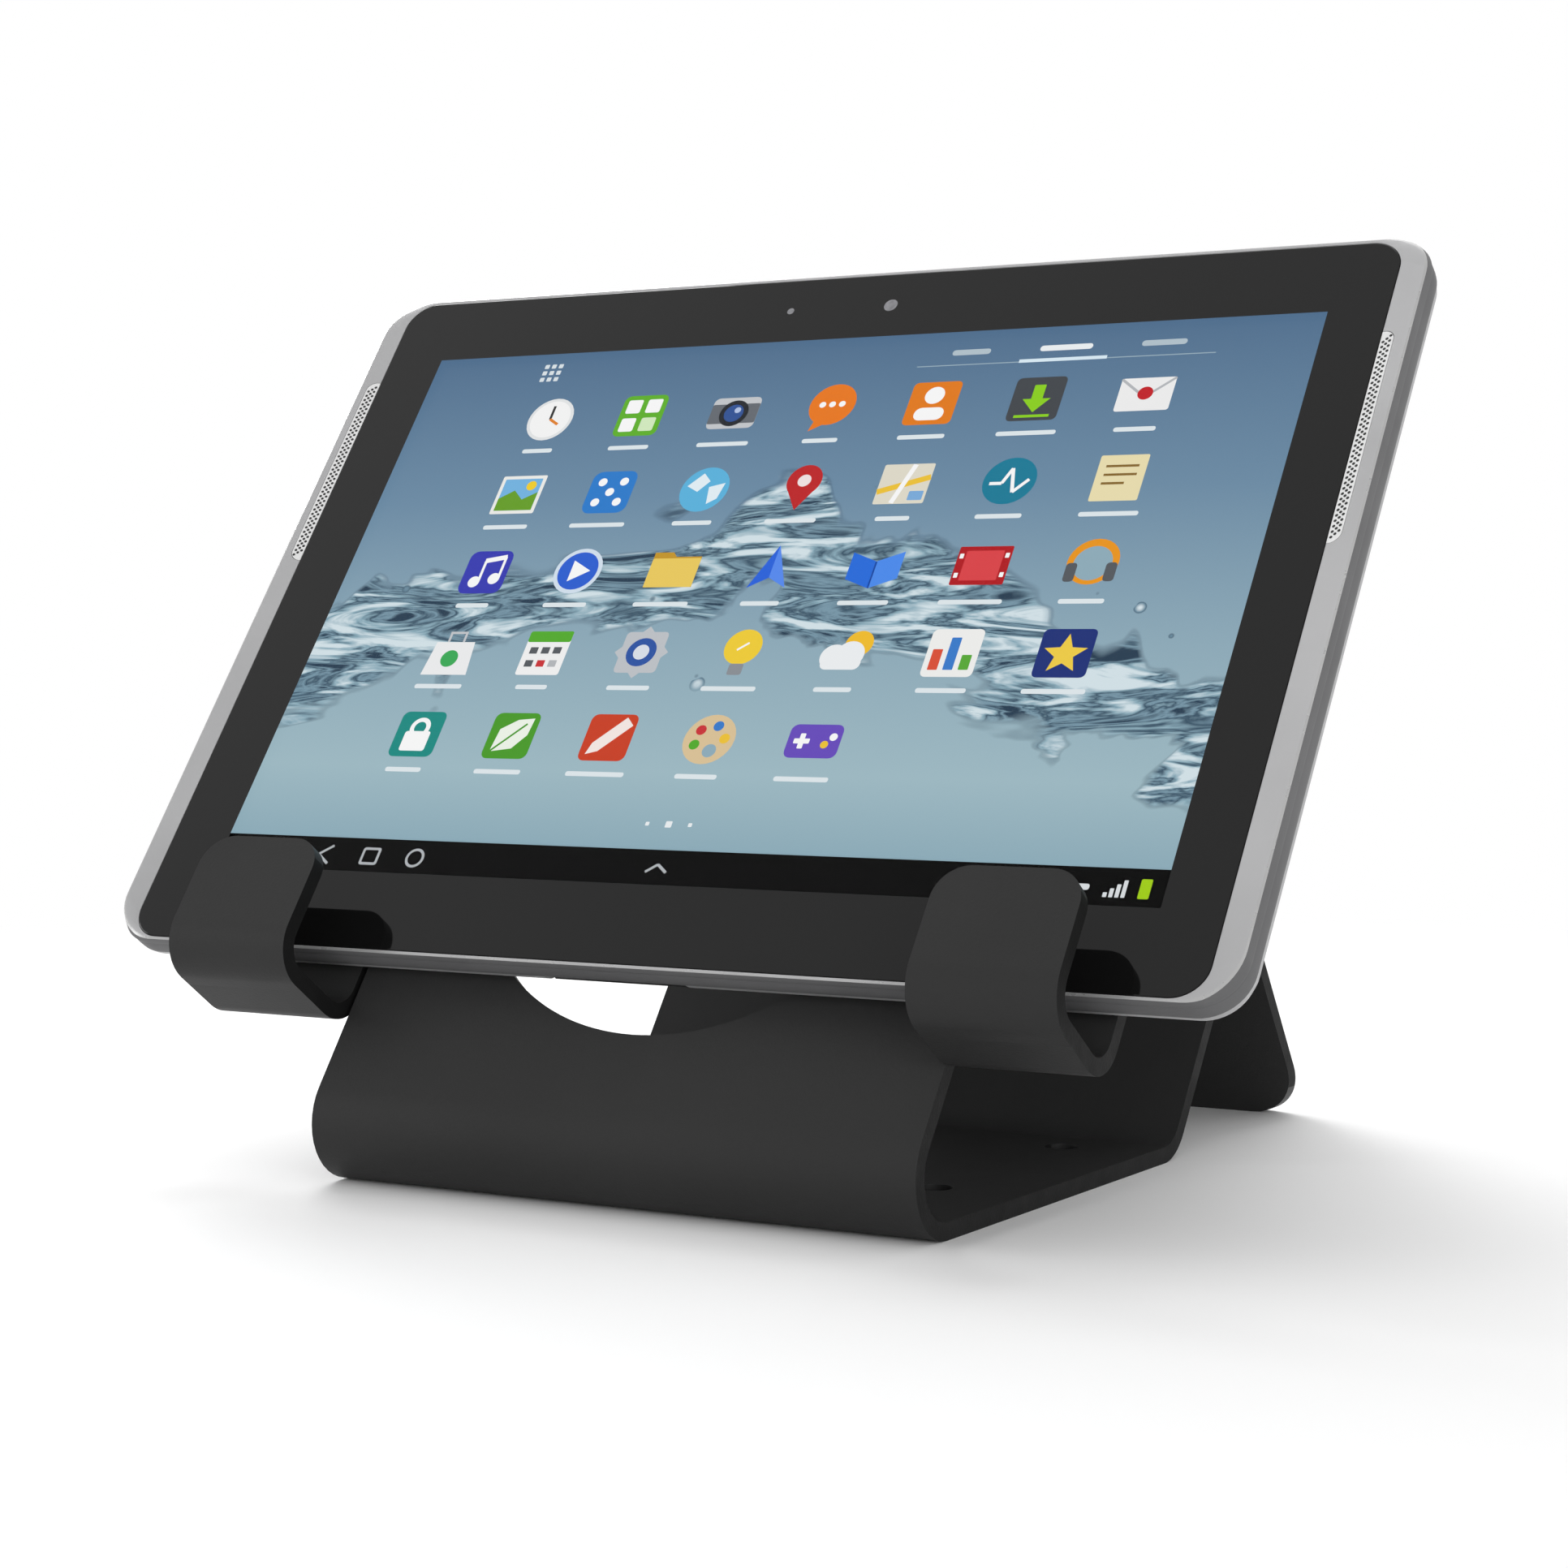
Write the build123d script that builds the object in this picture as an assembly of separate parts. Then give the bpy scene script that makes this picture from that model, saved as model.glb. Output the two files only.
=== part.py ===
from build123d import *
import math
import os

os.makedirs("parts", exist_ok=True)

# Bent sheet stand
lean = 54.26
sheet_thick = 3.4
strip_width = 137.3
bend_outer = 12.4
wall_spacing = 102.0
leg_foot_reach = 206.3
leg_corner = 12.0
opening_radius = 52.2
opening_height = 93.6
sunk = 20.0

# Counter fixing holes in the base
fixing_radius = 3.65
fixing_spread = 98.9
fixing_pitch = 58.0
fixing_reach = 85.0

# Hooks that stand beside the strip
relief_gap = 1.4
relief_rise = 41.9
relief_end_radius = 1.7
hook_width = 29.6
hook_room = 12.7
hook_bend_outer = 9.0
hook_lip_front = 25.8
hook_lip_rise = 29.0
hook_lip_corner = 7.0
ear_rise = 87.9
ear_corner = 14.0

# Weld between the rear wall's end and the leg
seat_gap = 0.3
weld_leg = 3.6
weld_length = 32.0
weld_spread = 78.0

# Tablet envelope, measured along the support face
tablet_width = 257.0
tablet_height = 176.0
tablet_corner = 10.0
tablet_shift = 2.0
tablet_hang = 42.8
cover_depth = 2.1
cover_floor = 0.8
cover_edge_round = 1.1
cover_inset = 1.2
band_depth = 5.4
band_inset = 1.1
band_wall = 2.2
band_plate_low = 5.2
band_plate_high = 6.0
rim_depth = 2.1
rim_wall = 0.85
rim_side = 6.1
rim_edge = 0.4
glass_thick = 1.0
glass_proud = 0.1
glass_corner = 6.2
fit_gap = 0.1

# Screen
screen_side_border = 17.75
screen_end_border = 16.25
screen_corner = 1.5

# Speakers and their grilles
grille_width = 2.9
grille_length = 52.0
grille_thick = 0.7
grille_drop = 50.4
grille_end_round = 2.4
grille_hole_radius = 0.42
grille_hole_rows = 13
grille_hole_step = 3.8
grille_column_step = 1.3
sound_slot_width = 1.6
sound_slot_length = 46.0
speaker_width = 8.0
speaker_length = 50.0
speaker_inset = 3.6
speaker_round = 1.2
cavity_gap = 0.1

# Dock socket in the lower edge
dock_shift = 3.5
dock_notch_width = 32.8
dock_notch_depth = 3.4
dock_notch_round = 0.9
dock_slot_width = 23.3
dock_slot_height = 1.1
dock_slot_depth = 4.2
dock_body_width = 27.0
dock_body_depth = 8.0
dock_body_high = 3.3
dock_tongue_width = 19.0
dock_tongue_height = 0.4
dock_inset = 1.5

# Cameras, sensor and flash
eye_drop = 9.7
eye_shift = 7.7
eye_radius = 2.6
sensor_offset = 17.3
sensor_radius = 1.6
eye_seat = 6.3
lens_inner_radius = 1.2
lens_inner_depth = 0.8
rear_eye_drop = 14.0
rear_eye_radius = 5.2
rear_window_radius = 4.2
rear_window_thick = 0.6
rear_eye_body_radius = 3.6
rear_eye_body_high = 4.6
rear_eye_proud = 0.2
flash_offset = 12.0
flash_radius = 2.2

# Internal packs
battery_side_room = 31.8
battery_low_room = 22.9
battery_high_room = 50.9
battery_thick = 3.4
battery_gap = 3.0
battery_round = 3.0
board_left_room = 48.3
board_right_room = 84.3
board_height = 24.0
board_thick = 1.0
board_top_room = 16.9
board_seat = 1.5
shield_width = 28.0
shield_height = 16.0
shield_thick = 1.6
shield_step = 36.0

# Buttons, jack and card cover in the upper edge
key_level = 3.8
key_thick = 2.0
key_slot_gap = 0.3
key_travel = 0.4
key_sunk = 0.5
power_width = 11.0
power_from_left = 24.2
rocker_width = 22.0
rocker_from_left = 48.2
rocker_flange_drop = 0.4
flange_grow = 1.2
flange_thick = 0.9
key_end_round = 0.9
jack_radius = 2.4
jack_bore_radius = 1.75
jack_depth = 12.0
jack_bore_depth = 9.0
jack_from_right = 88.2
jack_level = 5.1
card_width = 13.0
card_from_left = 83.2
card_depth = 1.6

# Security plate glued to the tablet's back
plate_width = 79.4
plate_thick = 2.4
plate_corner = 2.0
slide_travel = 20.0
pad_thick = 0.8
pad_inset = 3.0
tab_width = 18.0
tab_reach = 15.0
tab_slot_width = 7.2
tab_slot_height = 3.2

# Derived places
run = math.cos(math.radians(lean))
rise = math.sin(math.radians(lean))
half_strip = strip_width / 2
tablet_low = opening_height - tablet_hang
hook_low = tablet_low - hook_room
hook_lip_top = hook_low + hook_lip_rise
relief_top = hook_low + relief_rise
ear_top = hook_low + ear_rise
back_level = seat_gap
cover_level = back_level + cover_depth
band_level = cover_level + band_depth
rim_level = band_level + rim_depth
glass_level = rim_level + glass_proud
floor_level = back_level + cover_floor
tablet_mid = tablet_low + tablet_height / 2
tablet_top = tablet_low + tablet_height
cavity_width = tablet_width - 2 * (band_inset + band_wall)
cavity_height = tablet_height - 2 * (band_inset + band_wall)
cavity_corner = tablet_corner - band_inset - band_wall
wall_outer = tablet_top - band_inset
wall_inner = wall_outer - band_wall
tablet_left = -tablet_shift - tablet_width / 2
tablet_right = tablet_width / 2 - tablet_shift
screen_width = tablet_width - 2 * screen_side_border
screen_height = tablet_height - 2 * screen_end_border
grille_mid = tablet_top - grille_drop
eye_mid = tablet_top - eye_drop
rear_eye_mid = tablet_top - rear_eye_drop
power_mid = tablet_left + power_from_left
rocker_mid = tablet_left + rocker_from_left
card_mid = tablet_left + card_from_left
jack_mid = tablet_right - jack_from_right
glass_open_width = tablet_width - 2 * rim_side
glass_open_height = tablet_height - 2 * rim_wall

support = Plane(
    origin=(0, -fixing_reach, 0),
    x_dir=(1, 0, 0),
    z_dir=(0, -rise, run),
)


def on_support(shape):
    return support.location * shape


def side_face(points):
    """A flat face in the side view, drawn from reach and height of its corners."""
    places = [(0, y - fixing_reach, z) for y, z in points]
    return make_face(Polyline(*places, close=True))


def across(face, low, high):
    """The side view face stretched across from low to high."""
    return extrude(Pos(low, 0, 0) * face, amount=high - low, dir=(1, 0, 0))


def slab(width, height, corner, low, high, x=0.0, s=0.0):
    """A rounded block on the support face, between two levels."""
    outline = RectangleRounded(width, height, corner)
    return Pos(x, s, low) * extrude(outline, amount=high - low)


def block(x_low, x_high, s_low, s_high, n_low, n_high):
    """A plain block given by its limits on the support face."""
    size = (x_high - x_low, s_high - s_low, n_high - n_low)
    middle = ((x_low + x_high) / 2, (s_low + s_high) / 2, (n_low + n_high) / 2)
    return Pos(*middle) * Box(*size)


def disc(radius, low, high, x, s):
    """A round piece standing on the support face."""
    return Pos(x, s, (low + high) / 2) * Cylinder(radius, high - low)


def bent_strip():
    """The strip that runs from the leg over the top, down, along the floor and up again."""
    apex_height = leg_foot_reach * rise / run / 2
    rear_corner = (wall_spacing + sheet_thick) / rise
    leg_low = (leg_foot_reach + sunk * run, -sunk * rise)
    apex = (leg_foot_reach / 2, apex_height)
    rear_end = (rear_corner + wall_spacing * run, wall_spacing * rise)
    corners = [leg_low, apex, (0, 0), (rear_corner, 0), rear_end]
    places = [(0, y - fixing_reach, z) for y, z in corners]
    path = FilletPolyline(*places, radius=bend_outer)
    inner = offset(path, amount=sheet_thick, side=Side.RIGHT, closed=True)
    if inner.bounding_box().max.Z > path.bounding_box().max.Z + sheet_thick / 2:
        inner = offset(path, amount=sheet_thick, side=Side.LEFT, closed=True)
    strip = across(make_face(inner), -half_strip, half_strip)
    wide = strip_width
    strip -= Pos(0, 0, -sunk) * Box(2 * wide, 4 * leg_foot_reach, 2 * sunk)
    # The rear wall stops just short of the leg's inner face.
    leg_inner = leg_foot_reach - sheet_thick / rise
    stop = leg_inner - seat_gap / rise
    slope = run / rise
    trim = side_face([
        (stop - slope * sheet_thick, sheet_thick),
        (leg_inner - slope * sheet_thick, sheet_thick),
        (leg_inner - slope * opening_height, opening_height),
        (stop - slope * opening_height, opening_height),
    ])
    strip -= across(trim, -wide, wide)
    return strip


def strip_body():
    """The strip with its opening, its fixing holes and the leg's rounded corners."""
    strip = max(bent_strip().solids(), key=lambda solid: solid.volume)
    for side in (-1, 1):
        corner = Pos(side * half_strip, leg_foot_reach, 0) * Box(2 * leg_corner, leg_foot_reach, 2 * leg_corner)
        round_x = side * (half_strip - leg_corner)
        rounded = Rot(90, 0, 0) * Cylinder(leg_corner, 2 * leg_foot_reach)
        strip -= corner - Pos(round_x, leg_foot_reach, leg_corner) * rounded
    opening = disc(opening_radius, -2 * sheet_thick, sheet_thick, 0, opening_height)
    strip -= on_support(opening)
    for x in (-fixing_spread / 2, fixing_spread / 2):
        for y in (-fixing_pitch / 2, fixing_pitch / 2):
            strip -= Pos(x, y, 0) * Cylinder(fixing_radius, 3 * sheet_thick)
    return strip


def hook():
    """The right hook: an ear beside the strip that curls under and in front of the tablet."""
    x_low = half_strip + relief_gap
    x_high = x_low + hook_width
    places = [
        (x_low, ear_top, -sheet_thick),
        (x_low, hook_low, -sheet_thick),
        (x_low, hook_low, hook_lip_front),
        (x_low, hook_lip_top, hook_lip_front),
    ]
    path = FilletPolyline(*places, radius=hook_bend_outer)
    curl = offset(path, amount=sheet_thick, side=Side.LEFT, closed=True)
    if curl.bounding_box().min.Y < hook_low - sheet_thick / 2:
        curl = offset(path, amount=sheet_thick, side=Side.RIGHT, closed=True)
    body = extrude(make_face(curl), amount=hook_width, dir=(1, 0, 0))
    lip = [
        edge
        for edge in body.edges()
        if abs(edge.center().Y - hook_lip_top) < seat_gap / 10
        and edge.center().Z > glass_level
        and abs(edge.center().X - (x_low + x_high) / 2) > hook_width / 3
    ]
    body = fillet(lip, hook_lip_corner)
    ear = [
        edge
        for edge in body.edges()
        if abs(edge.center().Y - ear_top) < seat_gap / 10
        and edge.center().X > x_high - seat_gap
    ]
    body = fillet(ear, ear_corner)
    body += block(half_strip - relief_gap, x_low + relief_gap, relief_top, ear_top, -sheet_thick, 0)
    relief = disc(relief_end_radius, -2 * sheet_thick, sheet_thick, half_strip + relief_gap / 2, relief_top)
    return body, relief


def stand_frame():
    """The whole sheet as one piece: strip and both hooks."""
    body, relief = hook()
    strip = strip_body()
    frame = strip + on_support(body) + on_support(mirror(body, about=Plane.YZ))
    frame = frame - on_support(relief) - on_support(mirror(relief, about=Plane.YZ))
    return frame


def seam_welds():
    """Two weld beads behind the rear wall's end, in the corner it makes with the leg."""
    slope = run / rise
    leg_inner = leg_foot_reach - sheet_thick / rise
    rear_corner = (wall_spacing + sheet_thick) / rise
    stop = leg_inner - seat_gap / rise
    meet_height = (stop - rear_corner) / (2 * slope)
    wall_end = (rear_corner + slope * meet_height, meet_height)
    wall_low = (wall_end[0] - weld_leg * run, meet_height - weld_leg * rise)
    leg_high = meet_height
    leg_end = (leg_inner - slope * leg_high, leg_high)
    leg_low = (leg_end[0] + weld_leg * run, leg_high - weld_leg * rise)
    bead = side_face([wall_low, wall_end, leg_end, leg_low])
    one = across(bead, -weld_length / 2, weld_length / 2)
    return Pos(-weld_spread / 2, 0, 0) * one + Pos(weld_spread / 2, 0, 0) * one


def tablet_slab(inset, low, high):
    """A block of the tablet's outline, drawn in on every side by the inset."""
    return slab(
        tablet_width - 2 * inset,
        tablet_height - 2 * inset,
        tablet_corner - inset,
        low,
        high,
        -tablet_shift,
        tablet_mid,
    )


def cavity(low, high):
    return tablet_slab(band_inset + band_wall, low, high)


def grille_outline(grow, low, high, side):
    """The D shaped strip beside the glass; side is 1 on the right and -1 on the left."""
    edge = glass_open_width / 2
    width = grille_width + grow
    length = grille_length + 2 * grow
    strip = Rectangle(width, length)
    outer = strip.vertices().sort_by(Axis.X)[-2:]
    strip = fillet(outer, grille_end_round)
    body = extrude(strip, amount=high - low)
    if side < 0:
        body = mirror(body, about=Plane.YZ)
    middle = -tablet_shift + side * (edge + width / 2)
    return Pos(middle, grille_mid, low) * body


def sound_slot(low, high, side):
    middle = -tablet_shift + side * (glass_open_width / 2 + grille_width / 2)
    return slab(
        sound_slot_width,
        sound_slot_length,
        sound_slot_width / 2.01,
        low,
        high,
        middle,
        grille_mid,
    )


def back_cover():
    cover = tablet_slab(cover_inset, back_level, cover_level)
    rear_edges = cover.faces().sort_by(Axis.Z)[0].edges()
    cover = fillet(rear_edges, cover_edge_round)
    cover -= cavity(floor_level, cover_level + sheet_thick)
    notch = slab(
        dock_notch_width,
        2 * dock_notch_depth,
        dock_notch_round,
        back_level - cover_depth,
        cover_level + cover_depth,
        -dock_shift - tablet_shift,
        tablet_low,
    )
    cover -= notch
    eye_s = rear_eye_mid
    cover -= disc(rear_eye_radius, -cover_depth, cover_level, -tablet_shift, eye_s)
    cover -= disc(flash_radius, -cover_depth, cover_level, flash_offset - tablet_shift, eye_s)
    return cover


def key_slot(width, middle, gap):
    """The slot that a key or cover stands in, cut through the band's upper wall."""
    return block(
        middle - width / 2 - gap,
        middle + width / 2 + gap,
        wall_inner - band_wall,
        tablet_top + band_wall,
        key_level - key_thick / 2 - gap,
        key_level + key_thick / 2 + gap,
    )


def mid_frame():
    """The darker band round the edge, with the plate that carries the screen."""
    frame = tablet_slab(band_inset, cover_level, band_level)
    frame -= cavity(cover_level - cover_depth, band_plate_low)
    frame -= slab(
        screen_width + 2 * fit_gap,
        screen_height + 2 * fit_gap,
        screen_corner,
        band_plate_high,
        rim_level,
        -tablet_shift,
        tablet_mid,
    )
    for side in (-1, 1):
        frame -= sound_slot(cover_level, rim_level, side)
    eye_s = eye_mid
    eye_x = eye_shift - tablet_shift
    frame -= disc(eye_radius + fit_gap, band_plate_low - sheet_thick, rim_level, eye_x, eye_s)
    sensor_x = -tablet_shift - sensor_offset
    frame -= disc(sensor_radius + fit_gap, band_plate_low - sheet_thick, rim_level, sensor_x, eye_s)
    frame -= key_slot(power_width, power_mid, key_slot_gap)
    frame -= key_slot(rocker_width, rocker_mid, key_slot_gap)
    frame -= key_slot(card_width, card_mid, fit_gap)
    frame -= jack_body(jack_radius + fit_gap)
    return frame


def front_rim():
    """The silver front frame, wide beside the glass and thin above and below it."""
    rim = tablet_slab(0, band_level, rim_level)
    front_edges = rim.faces().sort_by(Axis.Z)[-1].edges()
    rim = chamfer(front_edges, rim_edge)
    rim -= slab(
        glass_open_width,
        glass_open_height,
        glass_corner + fit_gap,
        glass_level - glass_thick - fit_gap,
        rim_level + sheet_thick,
        -tablet_shift,
        tablet_mid,
    )
    rim -= slab(
        screen_width + 2 * fit_gap,
        screen_height + 2 * fit_gap,
        screen_corner,
        band_level - band_depth,
        rim_level,
        -tablet_shift,
        tablet_mid,
    )
    for side in (-1, 1):
        rim -= grille_outline(0, rim_level - grille_thick, rim_level + sheet_thick, side)
        rim -= sound_slot(band_level - band_depth, rim_level, side)
    eye_s = eye_mid
    eye_x = eye_shift - tablet_shift
    rim -= disc(eye_radius + fit_gap, cover_level, rim_level, eye_x, eye_s)
    sensor_x = -tablet_shift - sensor_offset
    rim -= disc(sensor_radius + fit_gap, cover_level, rim_level, sensor_x, eye_s)
    return rim


def cover_glass():
    return slab(
        glass_open_width - 2 * fit_gap,
        glass_open_height - 2 * fit_gap,
        glass_corner,
        glass_level - glass_thick,
        glass_level,
        -tablet_shift,
        tablet_mid,
    )


def display_panel():
    return slab(
        screen_width,
        screen_height,
        screen_corner,
        band_plate_high,
        glass_level - glass_thick,
        -tablet_shift,
        tablet_mid,
    )


def speaker_grille(side):
    """A thin strip with two staggered columns of small six-sided holes."""
    grille = grille_outline(-fit_gap, rim_level - grille_thick, rim_level, side)
    middle = -tablet_shift + side * (glass_open_width / 2 + grille_width / 2)
    first = grille_mid - grille_hole_step * (grille_hole_rows - 1) / 2
    for row in range(grille_hole_rows):
        for column in (-1, 1):
            x = middle + column * grille_column_step / 2
            s = first + row * grille_hole_step + column * grille_hole_step / 4
            hole = RegularPolygon(grille_hole_radius, 6)
            grille -= Pos(x, s, band_level) * extrude(hole, amount=rim_depth + sheet_thick)
    return grille


def speaker(side):
    """A sound box behind a grille, with its open mouth under the slot."""
    middle = -tablet_shift + side * (cavity_width / 2 - speaker_inset - speaker_width / 2)
    low = floor_level + cavity_gap
    high = band_plate_low - cavity_gap
    s = grille_mid
    box = slab(speaker_width, speaker_length, speaker_round, low, high, middle, s)
    cone_low = high - (high - low) / 4
    box -= slab(speaker_width / 2, speaker_length / 2, speaker_round, cone_low, high, middle, s)
    return box


def dock_connector():
    """The flat socket that fills the notch of the back cover."""
    x = -dock_shift - tablet_shift
    half = dock_notch_width / 2 - fit_gap
    s_low = tablet_low + dock_inset
    s_step = tablet_low + dock_notch_depth - fit_gap
    low = back_level + fit_gap
    high = cover_level - fit_gap
    body = block(x - half, x + half, s_low, s_step, low, high)
    corners = [edge for edge in body.edges().filter_by(Axis.Z) if edge.center().Y > (s_low + s_step) / 2]
    body = fillet(corners, dock_notch_round)
    inner_low = floor_level + cavity_gap
    half_body = dock_body_width / 2
    wall_face = tablet_low + band_inset + band_wall + fit_gap
    body += block(x - half_body, x + half_body, s_step - dock_notch_round, wall_face, inner_low, high)
    body += block(x - half_body, x + half_body, wall_face, wall_face + dock_body_depth, inner_low, dock_body_high)
    middle = (low + high) / 2
    middle += (inner_low - low) / 4
    slot = block(
        x - dock_slot_width / 2,
        x + dock_slot_width / 2,
        tablet_low,
        s_low + dock_slot_depth,
        middle - dock_slot_height / 2,
        middle + dock_slot_height / 2,
    )
    tongue = block(
        x - dock_tongue_width / 2,
        x + dock_tongue_width / 2,
        s_low + dock_tongue_height,
        s_low + dock_slot_depth + dock_tongue_height,
        middle - dock_tongue_height / 2,
        middle + dock_tongue_height / 2,
    )
    return body - slot + tongue


def front_camera():
    x = eye_shift - tablet_shift
    s = eye_mid
    top = glass_level - glass_thick - fit_gap
    eye = disc(eye_radius, eye_seat, top, x, s)
    return eye - disc(lens_inner_radius, top - lens_inner_depth, top + fit_gap, x, s)


def light_sensor():
    x = -tablet_shift - sensor_offset
    return disc(sensor_radius, eye_seat, glass_level - glass_thick - fit_gap, x, eye_mid)


def rear_camera():
    """The rear camera's ring and body, set in the back cover."""
    s = rear_eye_mid
    ring = disc(rear_eye_radius - fit_gap, back_level - rear_eye_proud, floor_level + cavity_gap, -tablet_shift, s)
    ring += disc(rear_eye_body_radius, floor_level, rear_eye_body_high, -tablet_shift, s)
    window = disc(rear_window_radius, -sheet_thick, back_level + rear_window_thick, -tablet_shift, s)
    return ring - window


def rear_camera_window():
    s = rear_eye_mid
    low = back_level
    return disc(rear_window_radius - fit_gap, low, low + rear_window_thick, -tablet_shift, s)


def flash_window():
    s = rear_eye_mid
    x = flash_offset - tablet_shift
    return disc(flash_radius - fit_gap, back_level, floor_level + board_thick, x, s)


def battery():
    """Two flat cells side by side."""
    low = floor_level + cavity_gap
    width = (cavity_width - battery_gap) / 2 - battery_side_room
    height = cavity_height - battery_low_room - battery_high_room
    s = tablet_mid + (battery_low_room - battery_high_room) / 2
    cells = Part()
    for side in (-1, 1):
        x = -tablet_shift + side * (width + battery_gap) / 2
        cells += slab(width, height, battery_round, low, low + battery_thick, x, s)
    return cells


def main_board():
    """The circuit board with three shielded blocks."""
    width = cavity_width - board_left_room - board_right_room
    x = -tablet_shift + (board_left_room - board_right_room) / 2
    s = tablet_mid + cavity_height / 2 - board_top_room - board_height / 2
    low = floor_level + board_seat - board_thick
    board = slab(width, board_height, board_thick, low, low + board_thick, x, s)
    for place in (-1, 0, 1):
        shield = slab(
            shield_width,
            shield_height,
            board_thick,
            low + board_thick,
            low + board_thick + shield_thick,
            x + place * shield_step,
            s,
        )
        board += shield
    return board


def key_cap(width, x, flange_gap):
    """A long rounded button with a wider foot inside the wall."""
    top = tablet_top - key_sunk
    cap = block(
        x - width / 2,
        x + width / 2,
        wall_inner - flange_gap,
        top,
        key_level - key_thick / 2,
        key_level + key_thick / 2,
    )
    ends = [edge for edge in cap.edges().filter_by(Axis.Y) if edge.length > band_wall]
    cap = fillet(ends, key_end_round)
    foot = block(
        x - width / 2 - flange_grow,
        x + width / 2 + flange_grow,
        wall_inner - flange_gap - flange_thick,
        wall_inner - flange_gap,
        key_level - key_thick / 2,
        key_level + key_thick / 2,
    )
    return cap + foot


def jack_body(radius):
    """A barrel that reaches in from the band's upper edge."""
    barrel = Rot(90, 0, 0) * Cylinder(radius, jack_depth)
    return Pos(jack_mid, wall_outer - jack_depth / 2, jack_level) * barrel


def headphone_jack():
    bore = Rot(90, 0, 0) * Cylinder(jack_bore_radius, 2 * jack_bore_depth)
    return jack_body(jack_radius) - Pos(jack_mid, wall_outer, jack_level) * bore


def card_cover():
    """The flush cover of the card slot."""
    return block(
        card_mid - card_width / 2,
        card_mid + card_width / 2,
        wall_outer - card_depth,
        wall_outer,
        key_level - key_thick / 2,
        key_level + key_thick / 2,
    )


def plate_limits():
    """Lower and upper edge of the security plate, so that it sits in the round opening."""
    reach = opening_radius - seat_gap - plate_corner
    drop = math.sqrt(reach ** 2 - (plate_width / 2 - plate_corner) ** 2)
    low = opening_height - drop - plate_corner
    high = opening_height + drop + plate_corner - slide_travel
    return low, high


def adhesive_pad():
    low, high = plate_limits()
    width = plate_width - 2 * pad_inset
    height = high - low - 2 * pad_inset
    return slab(width, height, plate_corner, back_level - pad_thick, back_level, 0, (low + high) / 2)


def security_plate():
    """The plate with its folded tab, which a cable lock closes through."""
    low, high = plate_limits()
    middle = (low + high) / 2
    front = back_level - pad_thick
    plate = slab(plate_width, high - low, plate_corner, front - plate_thick, front, 0, middle)
    tab = block(
        -tab_width / 2,
        tab_width / 2,
        middle - plate_thick / 2,
        middle + plate_thick / 2,
        front - plate_thick - tab_reach,
        front - plate_thick,
    )
    tab_ends = [edge for edge in tab.edges().filter_by(Axis.Y) if edge.center().Z < front - tab_reach]
    tab = fillet(tab_ends, plate_corner)
    slot = block(
        -tab_slot_width / 2,
        tab_slot_width / 2,
        middle - 2 * plate_thick,
        middle + 2 * plate_thick,
        front - plate_thick - tab_reach / 2 - tab_slot_height,
        front - plate_thick - tab_reach / 2,
    )
    return plate + (tab - slot)


def save(shape, name):
    export_step(shape, "parts/" + name + ".step")


save(stand_frame(), "stand_frame")
save(seam_welds(), "seam_welds")
save(on_support(back_cover()), "back_cover")
save(on_support(mid_frame()), "mid_frame")
save(on_support(front_rim()), "front_rim")
save(on_support(cover_glass()), "cover_glass")
save(on_support(display_panel()), "display_panel")
save(on_support(speaker_grille(-1)), "speaker_grille_left")
save(on_support(speaker_grille(1)), "speaker_grille_right")
save(on_support(speaker(-1)), "speaker_left")
save(on_support(speaker(1)), "speaker_right")
save(on_support(dock_connector()), "dock_connector")
save(on_support(front_camera()), "front_camera")
save(on_support(light_sensor()), "light_sensor")
save(on_support(rear_camera()), "rear_camera")
save(on_support(rear_camera_window()), "rear_camera_window")
save(on_support(flash_window()), "flash_window")
save(on_support(battery()), "battery")
save(on_support(main_board()), "main_board")
save(on_support(key_cap(power_width, power_mid, key_slot_gap)), "power_button")
save(on_support(key_cap(rocker_width, rocker_mid, rocker_flange_drop)), "volume_rocker")
save(on_support(headphone_jack()), "headphone_jack")
save(on_support(card_cover()), "card_cover")
save(on_support(adhesive_pad()), "adhesive_pad")
save(on_support(security_plate()), "security_plate")
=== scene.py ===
import math

import bmesh
import bpy
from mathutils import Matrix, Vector


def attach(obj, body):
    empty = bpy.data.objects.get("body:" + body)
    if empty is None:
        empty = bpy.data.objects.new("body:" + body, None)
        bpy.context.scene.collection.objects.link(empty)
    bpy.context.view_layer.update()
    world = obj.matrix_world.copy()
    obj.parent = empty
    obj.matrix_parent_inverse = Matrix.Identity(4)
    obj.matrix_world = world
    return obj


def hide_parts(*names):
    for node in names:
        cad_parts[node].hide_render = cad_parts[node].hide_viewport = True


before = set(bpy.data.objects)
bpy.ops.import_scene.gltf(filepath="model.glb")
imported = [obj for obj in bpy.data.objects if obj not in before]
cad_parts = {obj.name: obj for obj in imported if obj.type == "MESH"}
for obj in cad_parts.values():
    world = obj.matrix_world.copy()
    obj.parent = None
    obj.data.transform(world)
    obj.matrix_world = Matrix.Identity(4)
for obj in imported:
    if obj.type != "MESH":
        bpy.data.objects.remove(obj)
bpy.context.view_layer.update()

# A black counter stand, bent from one sheet, holds a tablet in two hooks. Both share one
# leaning face. A place on it is x to the right, s up the face and n out of it, in millimetres,
# with n = 0 on the front of the support wall.
LEAN = math.radians(54.26)
RUN = math.cos(LEAN)
RISE = math.sin(LEAN)

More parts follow.
